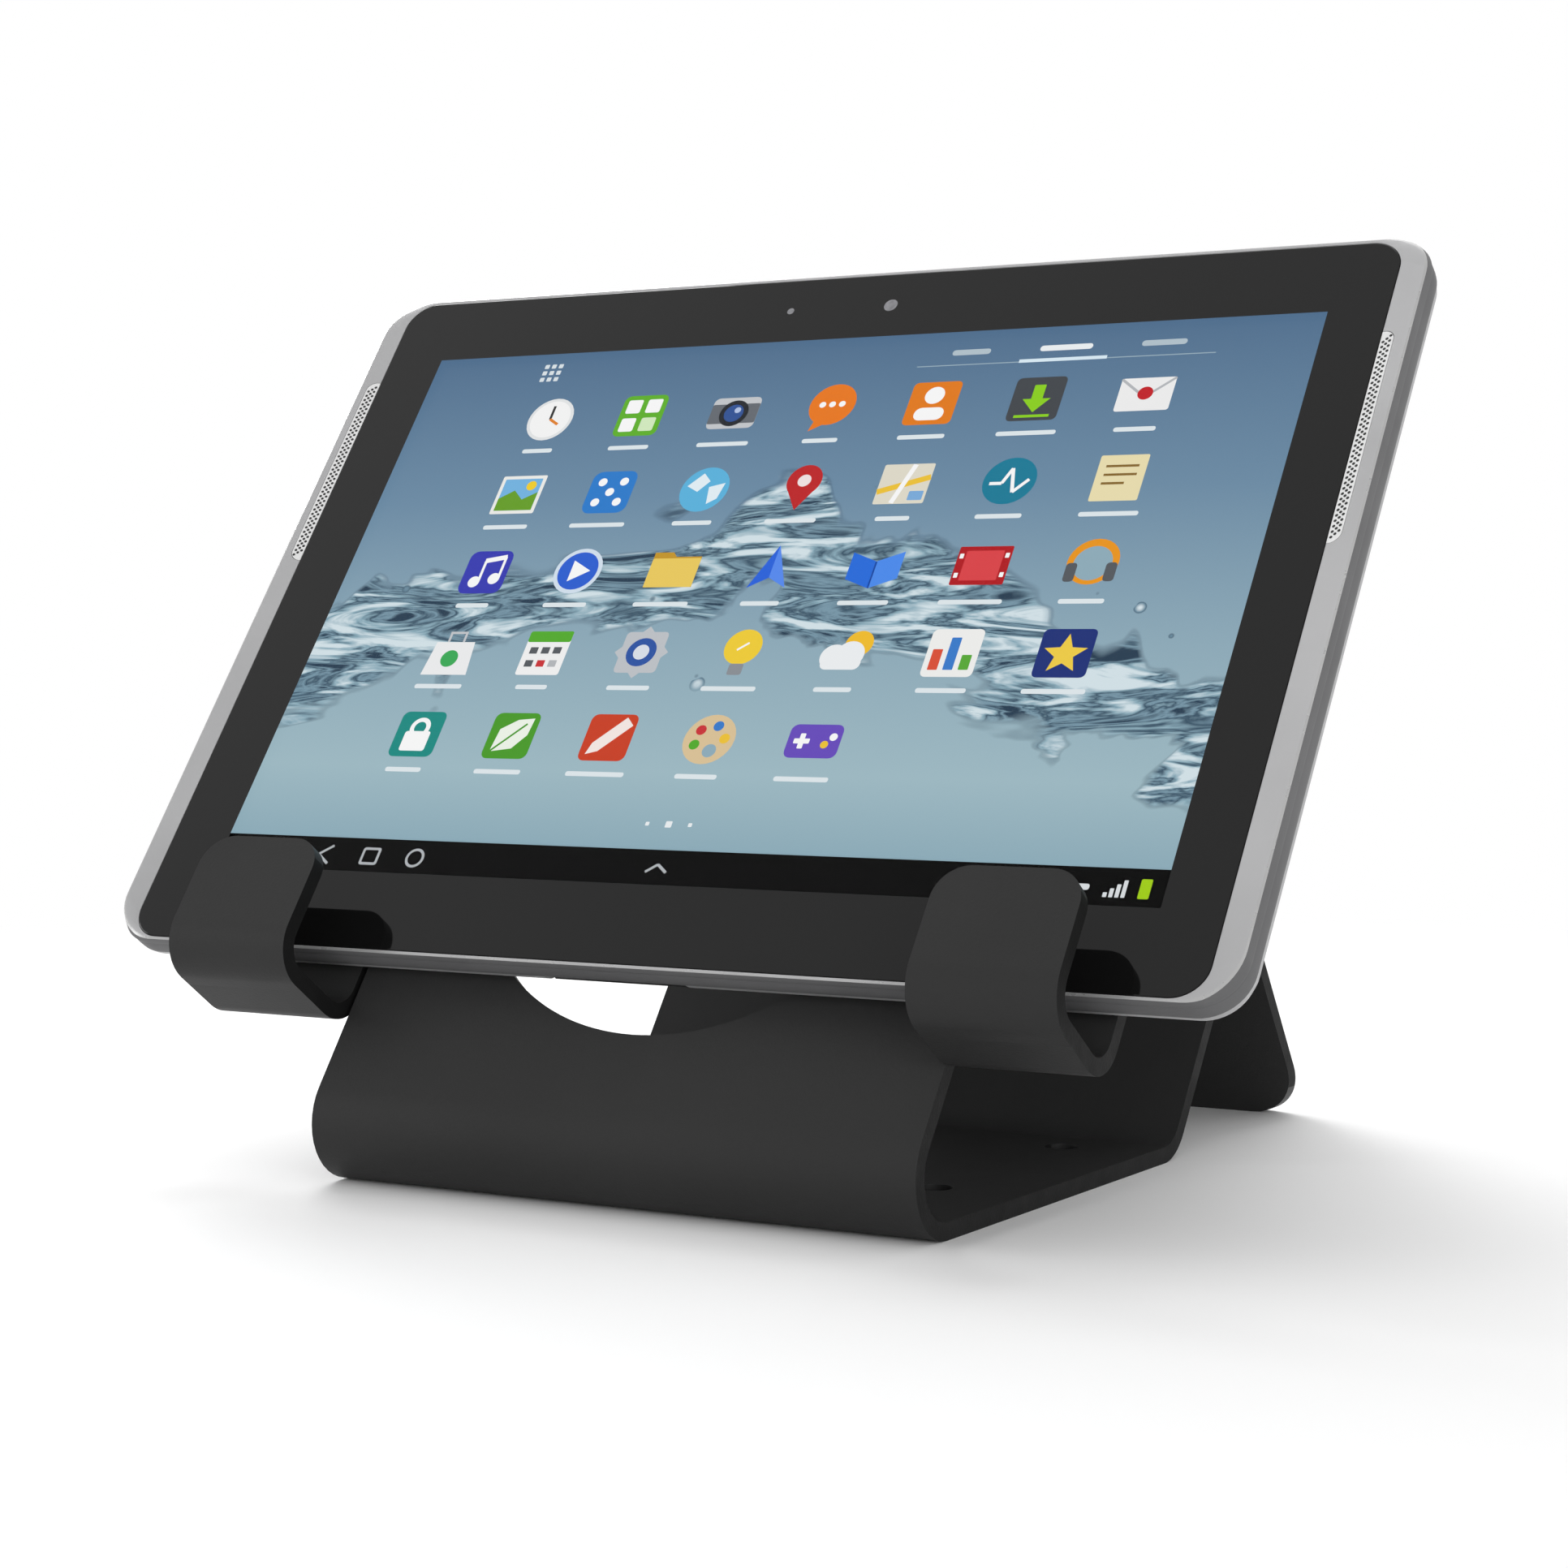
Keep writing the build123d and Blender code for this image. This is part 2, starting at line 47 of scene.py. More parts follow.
# The bent sheet. The frame's origin is the middle of its fixing holes, this far behind the
# front corner.
HOLES_BACK = 85.0
SHEET = 3.4
HALF_STRIP = 68.65
BEND = 12.4
LEG_REACH = 206.3
WALL_SPACING = 102.0
WELD_GAP = 0.3
OPENING_S = 93.6
OPENING_R = 52.2
FOOT_CORNER = 12.0
FIXING_X = 49.45
FIXING_Y = (56.0, 114.0)
FIXING_R = 3.65
SHEET_BEVEL = 0.3

# A hook: an ear in line with the wall, a floor under the tablet and a lip in front of it.
HOOK_GAP = 1.4
HOOK_W = 29.6
HOOK_BEND = 9.0
HOOK_FLOOR = 38.1
EAR_ROOT = 80.0
EAR_TOP = 126.0
EAR_CORNER = 14.0
LIP_FRONT = 25.8
LIP_TOP = 67.1
LIP_CORNER = 7.0
RELIEF_R = 1.7

# How far a cutter reaches to both sides of a sheet.
THROUGH = 9.0

# The tablet's outside, and the levels of its layers.
TAB_X = -2.0
TAB_S = 138.8
TAB_W = 257.0
TAB_H = 176.0
TAB_LOW = TAB_S - TAB_H / 2
TAB_TOP = TAB_S + TAB_H / 2
BACK = 0.3
BACK_INNER = 1.1
BAND_LOW = 2.4
SHELL_TOP = 7.7
BAND_HIGH = 7.8
LEDGE = 8.9
RIM_TOP = 9.9
GLASS_TOP = 10.0

# How far in from the frame's outline the back shell lies at each level.
SOFT_EDGE = (
    (4.2, BACK), (3.0, 0.36), (2.2, 0.65), (1.6, 1.1), (1.15, 1.7), (0.8, 2.4), (0.5, 3.2), (0.3, 4.0),
)
BAND_EDGE = ((0.2, 4.2), (0.1, 5.4), (0.1, 6.8), (0.2, 7.6), (0.3, SHELL_TOP))
SHELL_INNER = 3.6
LINING = 2.1
LINING_CORNER = 8.8

# The glass, and the frame round it. The frame stands a little off the shell's middle, and its
# face rises from the glass out to the left and right ends.
GLASS_X = -3.0
GLASS_S = 138.62
GLASS_W = 245.1
GLASS_H = 174.75
GLASS_CORNER = 6.9
GLASS_BACK = 9.0
GLASS_GAP = 0.1
FRAME_X = -2.35
FRAME_S = 138.85
FRAME_W = 256.7
FRAME_H = 176.9
FRAME_CORNER = 9.7
FRAME_SLOPE = 0.2

# Speaker grilles, eyes, dock socket and the groove for the keys.
GRILLE_S = 176.4
GRILLE_HALF = 26.0
GRILLE_W = 2.9
GRILLE_CORNER = 2.4
GRILLE_DEEP = 0.7
HOLES_OUT = 1.48
EYES_S = TAB_S + 78.3
CAMERA_EYE_X = TAB_X + 7.7
SENSOR_EYE_X = TAB_X - 17.3
EYE_POCKET_R = 2.7
REAR_S = TAB_S + 74.0
REAR_EYE_R = 5.2
FLASH_X = TAB_X + 12.0
FLASH_R = 2.2
DOCK_X = TAB_X - 3.5
DOCK_W = 32.8
DOCK_T = 6.8
DOCK_CORNER = 0.9
GROOVE_W = 226.0
GROOVE_DEEP = 1.0

# The panel and its lit screen.
PANEL_W = 221.5
PANEL_H = 143.5
PANEL_CORNER = 1.5
PANEL_LOW = 6.0
PANEL_TOP = 8.7
PANEL_GAP = 0.2
SCREEN_X = -1.7
SCREEN_W = 217.0
SCREEN_H = 138.7
SCREEN_LEFT = SCREEN_X - SCREEN_W / 2
SCREEN_RIGHT = SCREEN_X + SCREEN_W / 2
SCREEN_LOW = TAB_S - SCREEN_H / 2

# Faces that meet at less than this are shaded as one.
SMOOTH_ANGLE = 32.0
GLASS_ANGLE = 12.0


def at(x, s, n):
    """A place on the leaning face as a point of the row frame, in metres."""
    return Vector((x, s * RUN - n * RISE - HOLES_BACK, s * RISE + n * RUN)) / 1000.0


def side(x, y, z):
    """A place given by its reach from the front corner and its height, in metres."""
    return Vector((x, y - HOLES_BACK, z)) / 1000.0


def rgb(text):
    """A colour written as it looks on a screen, as the linear colour a shader takes."""
    parts = [int(text[i:i + 2], 16) / 255.0 for i in (0, 2, 4)]
    linear = [p / 12.92 if p <= 0.04045 else ((p + 0.055) / 1.055) ** 2.4 for p in parts]
    return (*linear, 1.0)


# ---- Nodes

def set_sockets(node, values):
    """Sets the named sockets of a node."""
    for name, value in values.items():
        node.inputs[name].default_value = value


def math_node(nodes, links, operation, a, b=None, clamp=False):
    """Reckons with one or two values, each a number or the socket that gives it."""
    node = nodes.new("ShaderNodeMath")
    node.operation = operation
    node.use_clamp = clamp
    for place, value in enumerate((a, b)):
        if isinstance(value, (int, float)):
            node.inputs[place].default_value = value
        elif value is not None:
            links.new(value, node.inputs[place])
    return node.outputs[0]


def noise_at(nodes, links, scale, detail, stretch, twist=0.0, turn=0.0, source=None):
    """A noise in object coordinates, or in the source's, stretched along the axes."""
    if source is None:
        source = nodes.new("ShaderNodeTexCoord").outputs["Object"]
    mapping = nodes.new("ShaderNodeMapping")
    set_sockets(mapping, {"Scale": stretch, "Rotation": (0.0, 0.0, turn)})
    noise = nodes.new("ShaderNodeTexNoise")
    set_sockets(noise, {"Scale": scale, "Detail": detail, "Distortion": twist})
    links.new(source, mapping.inputs["Vector"])
    links.new(mapping.outputs["Vector"], noise.inputs["Vector"])
    return noise.outputs["Fac"]


def map_range(nodes, links, source, span, onto, curve="LINEAR"):
    """Maps one span of a value onto another."""
    ramp = nodes.new("ShaderNodeMapRange")
    ramp.interpolation_type = curve
    set_sockets(ramp, dict(zip(("From Min", "From Max", "To Min", "To Max"), (*span, *onto))))
    links.new(source, ramp.inputs["Value"])
    return ramp.outputs["Result"]


def ramp_of(nodes, links, source, stops):
    """A colour for each value; the first two stops are the ramp's own ends."""
    ramp = nodes.new("ShaderNodeValToRGB")
    elements = ramp.color_ramp.elements
    for number, (place, colour) in enumerate(stops):
        stop = elements[number] if number < 2 else elements.new(place)
        stop.position = place
        stop.color = rgb(colour)
    links.new(source, ramp.inputs["Fac"])
    return ramp.outputs["Color"]


def new_material(name):
    """A material with its nodes, its links and its shader."""
    material = bpy.data.materials.new(name)
    material.use_nodes = True
    tree = material.node_tree
    return material, tree.nodes, tree.links, tree.nodes["Principled BSDF"]


# ---- Finishes

# A noise keeps within this span nearly everywhere.
NOISE_SPAN = (0.3, 0.7)


def surface(name, dark, light, rough, metal=0.0, scale=60.0, grain=0.0, grain_scale=2500.0,
            stretch=(1, 1, 1), specular=0.5):
    """A surface with a slow change of tone, an uneven gloss and, if asked, a fine grain."""
    material, nodes, links, shader = new_material(name)
    set_sockets(shader, {"Metallic": metal, "Specular IOR Level": specular})
    tone = noise_at(nodes, links, scale, 4.0, stretch)
    colour = ramp_of(nodes, links, tone, tuple(zip(NOISE_SPAN, (dark, light))))
    links.new(colour, shader.inputs["Base Color"])
    gloss = noise_at(nodes, links, scale * 3.1, 3.0, stretch)
    links.new(map_range(nodes, links, gloss, NOISE_SPAN, rough), shader.inputs["Roughness"])
    if grain:
        fine = noise_at(nodes, links, grain_scale, 2.0, stretch)
        bump = nodes.new("ShaderNodeBump")
        set_sockets(bump, {"Strength": grain, "Distance": 0.0001})
        links.new(fine, bump.inputs["Height"])
        links.new(bump.outputs["Normal"], shader.inputs["Normal"])
    return material


POWDER = surface("powder_coat", "2a2a2a", "2d2d2d", (0.46, 0.49), scale=25.0, grain=0.35,
                 grain_scale=1800.0, specular=0.12)
# A duller coat for the sheet's cut edges, painted darker as the shade on them.
POWDER_SIDE_SHADE = surface("powder_coat_side_shade", "101010", "141414", (0.6, 0.7), grain=0.5,
                      grain_scale=1500.0, specular=0.15)
WELD = surface("weld_coat", "222222", "2c2c2c", (0.45, 0.6), scale=400.0, grain=0.8,
               grain_scale=600.0, specular=0.3)
SILVER = surface("satin_silver", "a4a4a5", "acacad", (0.42, 0.5), metal=0.3, scale=30.0,
                 grain=0.08, grain_scale=3000.0, specular=0.3)
EDGE = surface("bright_edge", "a4a4a4", "acacac", (0.25, 0.32), metal=0.4)
# A grey that paints shade: on the front frame's silver sides, in the groove of the back shell's band, on
# the mid frame and on the card cover.
BAND_SHADE = surface("band_painted_shade", "5e5e5f", "666667", (0.4, 0.5), scale=40.0, grain=0.1,
               grain_scale=3000.0, specular=0.06)
BORDER = surface("glass_border", "0e0e0e", "101010", (0.03, 0.05), scale=8.0, specular=0.24)
GRILLE = surface("grille_metal", "d2d2d2", "dcdcdc", (0.35, 0.5), metal=0.2, scale=200.0)
# Dark discs painted where the grille's holes are, as the shade inside them.
HOLE = surface("grille_hole_shade", "202020", "303030", (0.8, 0.95), scale=800.0, grain=0.8)
PLASTIC = surface("black_plastic", "161616", "1e1e1e", (0.4, 0.55), scale=90.0, grain=0.2)
LENS = surface("dark_lens", "060608", "0c0c12", (0.04, 0.08), scale=300.0)
EYE = surface("eye_grey", "6c6c70", "88888c", (0.1, 0.2), scale=900.0)
FLASH = surface("flash_lens", "d8cf9c", "efe6b8", (0.1, 0.25), scale=900.0, grain=0.3)
KEY = surface("key_silver", "9c9c9d", "a6a6a7", (0.28, 0.36), metal=0.7, scale=120.0,
              stretch=(0.2, 1, 1))
FOIL = surface("cell_foil", "34383d", "42474d", (0.35, 0.5), metal=0.5, scale=120.0, grain=0.4,
               grain_scale=500.0)
BOARD = surface("board_green", "1c4a31", "265f40", (0.35, 0.55), scale=500.0, grain=0.3)
FOAM = surface("foam_tape", "d6d6d0", "e2e2dc", (0.8, 0.95), scale=300.0, grain=0.7)
ZINC = surface("zinc_plate", "7e8184", "9a9da0", (0.28, 0.42), metal=0.9, scale=150.0,
               grain=0.1, grain_scale=1500.0)


def pane_material():
    """Clear glass that lets the picture behind it through."""
    material, *_, shader = new_material("clear_pane")
    set_sockets(shader, {
        "Base Color": (0.0, 0.0, 0.0, 1.0), "Roughness": 0.04, "Specular IOR Level": 0.3, "Alpha": 0.05,
    })
    return material


def lit(links, shader, colour):
    """Lets a dark surface shine in the colour."""
    set_sockets(shader, {
        "Base Color": (0.002, 0.002, 0.002, 1.0), "Roughness": 0.35, "Specular IOR Level": 0.03,
        "Emission Strength": 1.0,
    })
    links.new(colour, shader.inputs["Emission Color"])


# The wave on the wallpaper, in shares of the picture's width and height.
WAVE_SWING = 5.2
WAVE_START = -1.1
WAVE_HEIGHT = 0.13
WAVE_MIDDLE = 0.5
WAVE_FALL = -0.12
WAVE_RAGGED = 0.42
WAVE_HALF = 0.105
WAVE_RIM = 0.1
WAVE_TURN = -0.3
DROP_REACH = 0.24
DROP_SHARE = 0.62
PICTURE_ASPECT = 1.56


def wallpaper_material():
    """A lit picture: blue at the top turning pale below, with a wave of clear water and drops."""
    material, nodes, links, shader = new_material("wallpaper")
    place = nodes.new("ShaderNodeUVMap").outputs["UV"]
    split = nodes.new("ShaderNodeSeparateXYZ")
    links.new(place, split.inputs["Vector"])
    u = split.outputs["X"]
    v = split.outputs["Y"]

    def calc(operation, a, b=None, clamp=False):
        return math_node(nodes, links, operation, a, b, clamp)

    def stops(source, *places):
        return ramp_of(nodes, links, source, places)

    def noise(scale, detail, twist, stretch):
        return noise_at(nodes, links, scale, detail, stretch, twist, WAVE_TURN, place)

    def blend(factor, low, high):
        mix = nodes.new("ShaderNodeMix")
        mix.data_type = "RGBA"
        links.new(factor, mix.inputs[0])
        links.new(low, mix.inputs[6])
        links.new(high, mix.inputs[7])
        return mix.outputs[2]

    sky = stops(v, (0.0, "86a8b8"), (1.0, "557494"), (0.2, "a3bfc9"), (0.42, "93b0bf"), (0.7, "7090aa"))
    # The wave climbs from the lower left and dips again at the right, with a ragged edge. The
    # large factors here and below make its edges and those of the drops crisp.
    swing = calc("SINE", calc("ADD", calc("MULTIPLY", u, WAVE_SWING), WAVE_START))
    swell = calc("ADD", calc("MULTIPLY", swing, WAVE_HEIGHT), WAVE_MIDDLE)
    crest = calc("ADD", swell, calc("MULTIPLY", u, WAVE_FALL))
    ragged = calc("MULTIPLY", calc("SUBTRACT", noise(5.0, 3.0, 0.8, (1.0, 0.7, 1.0)), 0.5), WAVE_RAGGED)
    away = calc("ABSOLUTE", calc("ADD", calc("SUBTRACT", v, crest), ragged))
    inside = calc("MULTIPLY", calc("SUBTRACT", WAVE_HALF, away), 45.0, clamp=True)
    rim = calc("MULTIPLY", calc("ABSOLUTE", calc("SUBTRACT", away, WAVE_RIM)), 120.0, clamp=True)
    folds = stops(noise(7.0, 4.0, 2.6, (0.8, 2.6, 1.0)), (0.34, "2c4256"), (0.62, "d9e8ee"),
                  (0.42, "7f9fb0"), (0.47, "3c5568"), (0.53, "8fb0bf"))
    water = blend(rim, stops(v, (0.0, "2f4557"), (1.0, "33495e")), folds)
    wave = blend(inside, sky, water)
    # Round drops of many sizes float near the wave.
    cells = nodes.new("ShaderNodeTexVoronoi")
    cells.inputs["Scale"].default_value = 15.0
    wide = nodes.new("ShaderNodeMapping")
    wide.inputs["Scale"].default_value = (PICTURE_ASPECT, 1.0, 1.0)
    links.new(place, wide.inputs["Vector"])
    links.new(wide.outputs["Vector"], cells.inputs["Vector"])
    chance = nodes.new("ShaderNodeSeparateXYZ")
    links.new(cells.outputs["Color"], chance.inputs["Vector"])
    near = calc("SUBTRACT", DROP_REACH, calc("ABSOLUTE", calc("SUBTRACT", v, crest)))
    size = calc("MULTIPLY", calc("SUBTRACT", chance.outputs["X"], DROP_SHARE), 0.55, clamp=True)
    gap = calc("SUBTRACT", size, cells.outputs["Distance"])
    drop = calc("MULTIPLY", calc("MULTIPLY", gap, 40.0, clamp=True),
                calc("MULTIPLY", near, 30.0, clamp=True))
    body = stops(calc("MULTIPLY", gap, 7.0, clamp=True), (0.0, "34495b"), (0.9, "dce9ef"), (0.3, "6f8fa2"))
    lit(links, shader, blend(drop, wave, body))
    return material


def picture_material():
    """Lit picture marks that carry their colour in the mesh."""
    material, nodes, links, shader = new_material("picture_marks")
    tint = nodes.new("ShaderNodeVertexColor")
    tint.layer_name = "tint"
    lit(links, shader, tint.outputs["Color"])
    return material


PANE = pane_material()
WALLPAPER = wallpaper_material()
MARKS = picture_material()


# ---- Meshes

def link(name, mesh):
    piece = bpy.data.objects.new(name, mesh)
    bpy.context.scene.collection.objects.link(piece)
    return piece


def made(name, work):
    """Turns the faces worked on so far into a piece."""
    mesh = bpy.data.meshes.new(name)
    work.to_mesh(mesh)
    work.free()
    return link(name, mesh)


def smooth(mesh, angle):
    """Smooth faces with sharp edges kept where the faces meet at more than the angle."""
    work = bmesh.new()
    work.from_mesh(mesh)
    for face in work.faces:
        face.smooth = True
    for edge in work.edges:
        if len(edge.link_faces) == 2:
            edge.smooth = edge.calc_face_angle(0.0) < math.radians(angle)
    work.to_mesh(mesh)
    work.free()


def baked(piece):
    """Applies the modifiers of a piece."""
    graph = bpy.context.evaluated_depsgraph_get()
    mesh = bpy.data.meshes.new_from_object(piece.evaluated_get(graph))
    piece.modifiers.clear()
    piece.data = mesh


def painted(piece, *materials):
    """Gives a piece its materials, in the order that the numbers on its faces follow."""
    slots = piece.data.materials
    if slots:
        slots.clear()
    for material in materials:
        slots.append(material)


def finished(piece, material, body, nodes=(), angle=SMOOTH_ANGLE):
    """Gives a piece its material and its smooth faces, hangs it on its body and hides the parts it takes
    the place of.
    """
    if material is not None:
        painted(piece, material)
    smooth(piece.data, angle)
    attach(piece, body)
    if nodes:
        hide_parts(*nodes)


def cut(piece, other, how="DIFFERENCE"):
    """Cuts the other solid from the piece, or joins it, and drops the other."""
    step = piece.modifiers.new("cut", "BOOLEAN")
    step.operation = how
    step.solver = "EXACT"
    step.object = other
    baked(piece)
    bpy.data.objects.remove(other)


def bevelled(piece, width, segments=2, angle=35.0):
    """Breaks the sharp edges of a piece."""
    step = piece.modifiers.new("edge", "BEVEL")
    step.width = width / 1000.0
    step.segments = segments
    step.limit_method = "ANGLE"
    step.angle_limit = math.radians(angle)
    step.use_clamp_overlap = True
    baked(piece)


def walls(work, lower, upper, index=0):
    """Faces between two rings of corners, with the number of their material."""
    count = len(lower)
    for i in range(count):
        j = (i + 1) % count
        face = work.faces.new((lower[i], lower[j], upper[j], upper[i]))
        face.material_index = index


def prism(name, outline, low, high, place=at):
    """A solid between two copies of a flat outline; place(a, b, level) puts its corners."""
    work = bmesh.new()
    lower = [work.verts.new(place(a, b, low)) for a, b in outline]
    upper = [work.verts.new(place(a, b, high)) for a, b in outline]
    work.faces.new(lower)
    work.faces.new(upper)
    walls(work, lower, upper)
    bmesh.ops.recalc_face_normals(work, faces=work.faces)
    return made(name, work)


def circle(x, s, radius, steps=48):
    turns = [2 * math.pi * i / steps for i in range(steps)]
    return [(x + radius * math.cos(turn), s + radius * math.sin(turn)) for turn in turns]


def rounded(x, s, width, height, radius, steps=12):
    """A rectangle with round corners, anticlockwise from the right side's lower end."""
    points = []
    for right, up, start in ((1, -1, -90), (1, 1, 0), (-1, 1, 90), (-1, -1, 180)):
        cx = x + right * (width / 2 - radius)
        cs = s + up * (height / 2 - radius)
        for i in range(steps + 1):
            turn = math.radians(start + 90.0 * i / steps)
            points.append((cx + radius * math.cos(turn), cs + radius * math.sin(turn)))
    return points


def loft(name, sections, closed=True, material_of=lambda number: 0, place=at):
    """Walls between rounded rectangles given as (x, s, width, height, radius, level).

    material_of gives the number of a wall's material. The ends of a loft that isn't closed
    count as the wall before the first and the one after the last.
    """
    work = bmesh.new()
    rings = []
    for *shape, level in sections:
        rings.append([work.verts.new(place(a, b, level)) for a, b in rounded(*shape)])
    pairs = list(zip(rings, rings[1:]))
    if closed:
        pairs.append((rings[-1], rings[0]))
    for number, (lower, upper) in enumerate(pairs):
        walls(work, lower, upper, material_of(number))
    if not closed:
        work.faces.new(list(reversed(rings[0]))).material_index = material_of(-1)
        work.faces.new(rings[-1]).material_index = material_of(len(pairs))
    bmesh.ops.recalc_face_normals(work, faces=work.faces)
    return made(name, work)


def turned(spoke, turn):
    """A flat vector turned anticlockwise."""
    return Vector((
        spoke.x * math.cos(turn) - spoke.y * math.sin(turn),
        spoke.x * math.sin(turn) + spoke.y * math.cos(turn),
    ))


def bent_outline(corners, bend, ends=(None, None), steps=14):
    """The side view of the sheet bent at each inner corner; the corners lie on its outer face.

    ends gives the two points where the inner face starts and stops, or None for a square end.
    """
    path = [Vector(c) for c in corners]
    first = (path[1] - path[0]).normalized()
    second = (path[2] - path[1]).normalized()
    hand = -1.0 if first.x * second.y - first.y * second.x < 0 else 1.0
    outer = []
    inner = []
    for i, point in enumerate(path):
        if 0 < i < len(path) - 1:
            a = (path[i] - path[i - 1]).normalized()
            b = (path[i + 1] - path[i]).normalized()
            angle = a.angle(b)
            start = point - a * (bend * math.tan(angle / 2))
            normal = Vector((-a.y, a.x)) * hand
            centre = start + normal * bend
            for k in range(steps + 1):
                spoke = turned(-normal, hand * angle * k / steps)
                outer.append(centre + spoke * bend)
                inner.append(centre + spoke * (bend - SHEET))
        else:
            j = min(i, len(path) - 2)
            along = (path[j + 1] - path[j]).normalized()
            outer.append(point)
            inner.append(point + Vector((-along.y, along.x)) * hand * SHEET)
    if ends[0]:
        inner[0] = Vector(ends[0])
    if ends[1]:
        inner[-1] = Vector(ends[1])
    return [(p.x, p.y) for p in outer + list(reversed(inner))]


# ---- The bent sheet

def strip_piece():
    """The strip: leg, top bend, support wall, front bend, base, rear bend and rear wall."""
    slope = RUN / RISE
    apex = (LEG_REACH / 2, LEG_REACH / (2 * slope))
    rear_outer = (WALL_SPACING + SHEET) / RISE
    rear_inner = WALL_SPACING / RISE
    leg_inner = LEG_REACH - SHEET / RISE
    stop = leg_inner - WELD_GAP / RISE
    high_outer = (stop - rear_outer) / (2 * slope)
    high_inner = (stop - rear_inner) / (2 * slope)
    corners = [
        (LEG_REACH, 0.0),
        apex,
        (0.0, 0.0),
        (rear_outer, 0.0),
        (rear_outer + slope * high_outer, high_outer),
    ]
    ends = ((leg_inner, 0.0), (rear_inner + slope * high_inner, high_inner))
    outline = bent_outline(corners, BEND, ends)
    return prism("stand_sheet", outline, -HALF_STRIP, HALF_STRIP, lambda y, z, x: side(x, y, z))


def hook_piece(hand):
    """One hook: an ear in line with the wall that curls under and in front of the tablet."""
    low = HALF_STRIP + HOOK_GAP
    high = low + HOOK_W
    middle = hand * (low + high) / 2
    corners = [(-SHEET, EAR_TOP), (-SHEET, HOOK_FLOOR), (LIP_FRONT, HOOK_FLOOR), (LIP_FRONT, LIP_TOP)]
    outline = bent_outline(corners, HOOK_BEND)
    hook = prism("hook", outline, hand * low, hand * high, lambda n, s, x: at(x, s, n))
    # The lip's top corners are cut round, and so is the ear's outer corner. Elsewhere what is
    # kept runs well past the hook.
    lip_h = 40.0
    ear_h = 140.0
    spare = 40.0
    split = 14.0
    lip = rounded(middle, LIP_TOP - lip_h / 2, HOOK_W, lip_h, LIP_CORNER)
    ear = rounded(middle - hand * spare / 2, EAR_TOP - ear_h / 2, HOOK_W + spare, ear_h, EAR_CORNER)
    keep = prism("ear", ear, -20.0, split - 0.01)
    cut(keep, prism("lip", lip, split, 40.0), "UNION")
    cut(hook, keep, "INTERSECT")
    # Above the relief the ear runs on into the strip.
    near = hand * (HALF_STRIP - HOOK_GAP)
    far = hand * (low + HOOK_GAP)
    bridge = [(near, EAR_ROOT), (far, EAR_ROOT), (far, EAR_TOP), (near, EAR_TOP)]
    cut(hook, prism("bridge", bridge, -SHEET, 0.0), "UNION")
    return hook


def foot_cutter(hand):
    """What is cut off the leg's foot corner, drawn from the strip's edge inwards and up."""
    spare = 20.0
    below = -14.0
    front, rear = 190.0, 230.0
    arc = [
        (FOOT_CORNER - FOOT_CORNER * math.cos(math.radians(a)),
         FOOT_CORNER - FOOT_CORNER * math.sin(math.radians(a)))
        for a in range(0, 91, 5)
    ]
    outline = [(-spare, FOOT_CORNER)] + arc + [(FOOT_CORNER, below), (-spare, below)]
    return prism("foot", outline, front, rear, lambda a, z, y: side(hand * (HALF_STRIP - a), y, z))


def build_sheet():
    sheet = strip_piece()
    for hand in (-1, 1):
        cut(sheet, hook_piece(hand), "UNION")
        relief = circle(hand * (HALF_STRIP + HOOK_GAP / 2), EAR_ROOT, RELIEF_R, 24)
        cut(sheet, prism("relief", relief, -THROUGH, THROUGH))
        cut(sheet, foot_cutter(hand))
    cut(sheet, prism("opening", circle(0.0, OPENING_S, OPENING_R, 144), -THROUGH, THROUGH))
    for x in (-FIXING_X, FIXING_X):
        for y in FIXING_Y:
            cut(sheet, prism("hole", circle(x, y, FIXING_R, 40), -THROUGH, THROUGH, side))
    bevelled(sheet, SHEET_BEVEL)
    # The cut edges get a duller coat, painted darker as the shade on them.
    painted(sheet, POWDER, POWDER_SIDE_SHADE)
    for face in sheet.data.polygons:
        face.material_index = 1 if abs(face.normal.x) > 0.9 else 0
    finished(sheet, None, "stand", ["stand_frame"])


build_sheet()


# ---- The tablet's shell

def inset(amount, level, rounder=0.0):
    """A ring in from the frame's outline by the amount."""
    width = FRAME_W - 2 * amount
    height = FRAME_H - 2 * amount
    return (FRAME_X, FRAME_S, width, height, FRAME_CORNER - amount + rounder, level)


def centred(width, height, radius, level):
    """A ring round the tablet's middle."""
    return (TAB_X, TAB_S, width, height, radius, level)


def lining(level):
    """The shell's inner wall, close round the middle band."""
    return centred(TAB_W - LINING, TAB_H - LINING, LINING_CORNER, level)


def round_glass(grow, level):
    """A ring on the glass's outline, or off it by grow."""
    return (GLASS_X, GLASS_S, GLASS_W + 2 * grow, GLASS_H + 2 * grow, GLASS_CORNER + grow, level)


def on_frame(x, s, level):
    """A place on the tablet whose level over the ledge follows the frame's sloped face."""
    out = max(0.0, abs(x - GLASS_X) - GLASS_W / 2)
    return at(x, s, level + out * FRAME_SLOPE if level > GLASS_BACK else level)


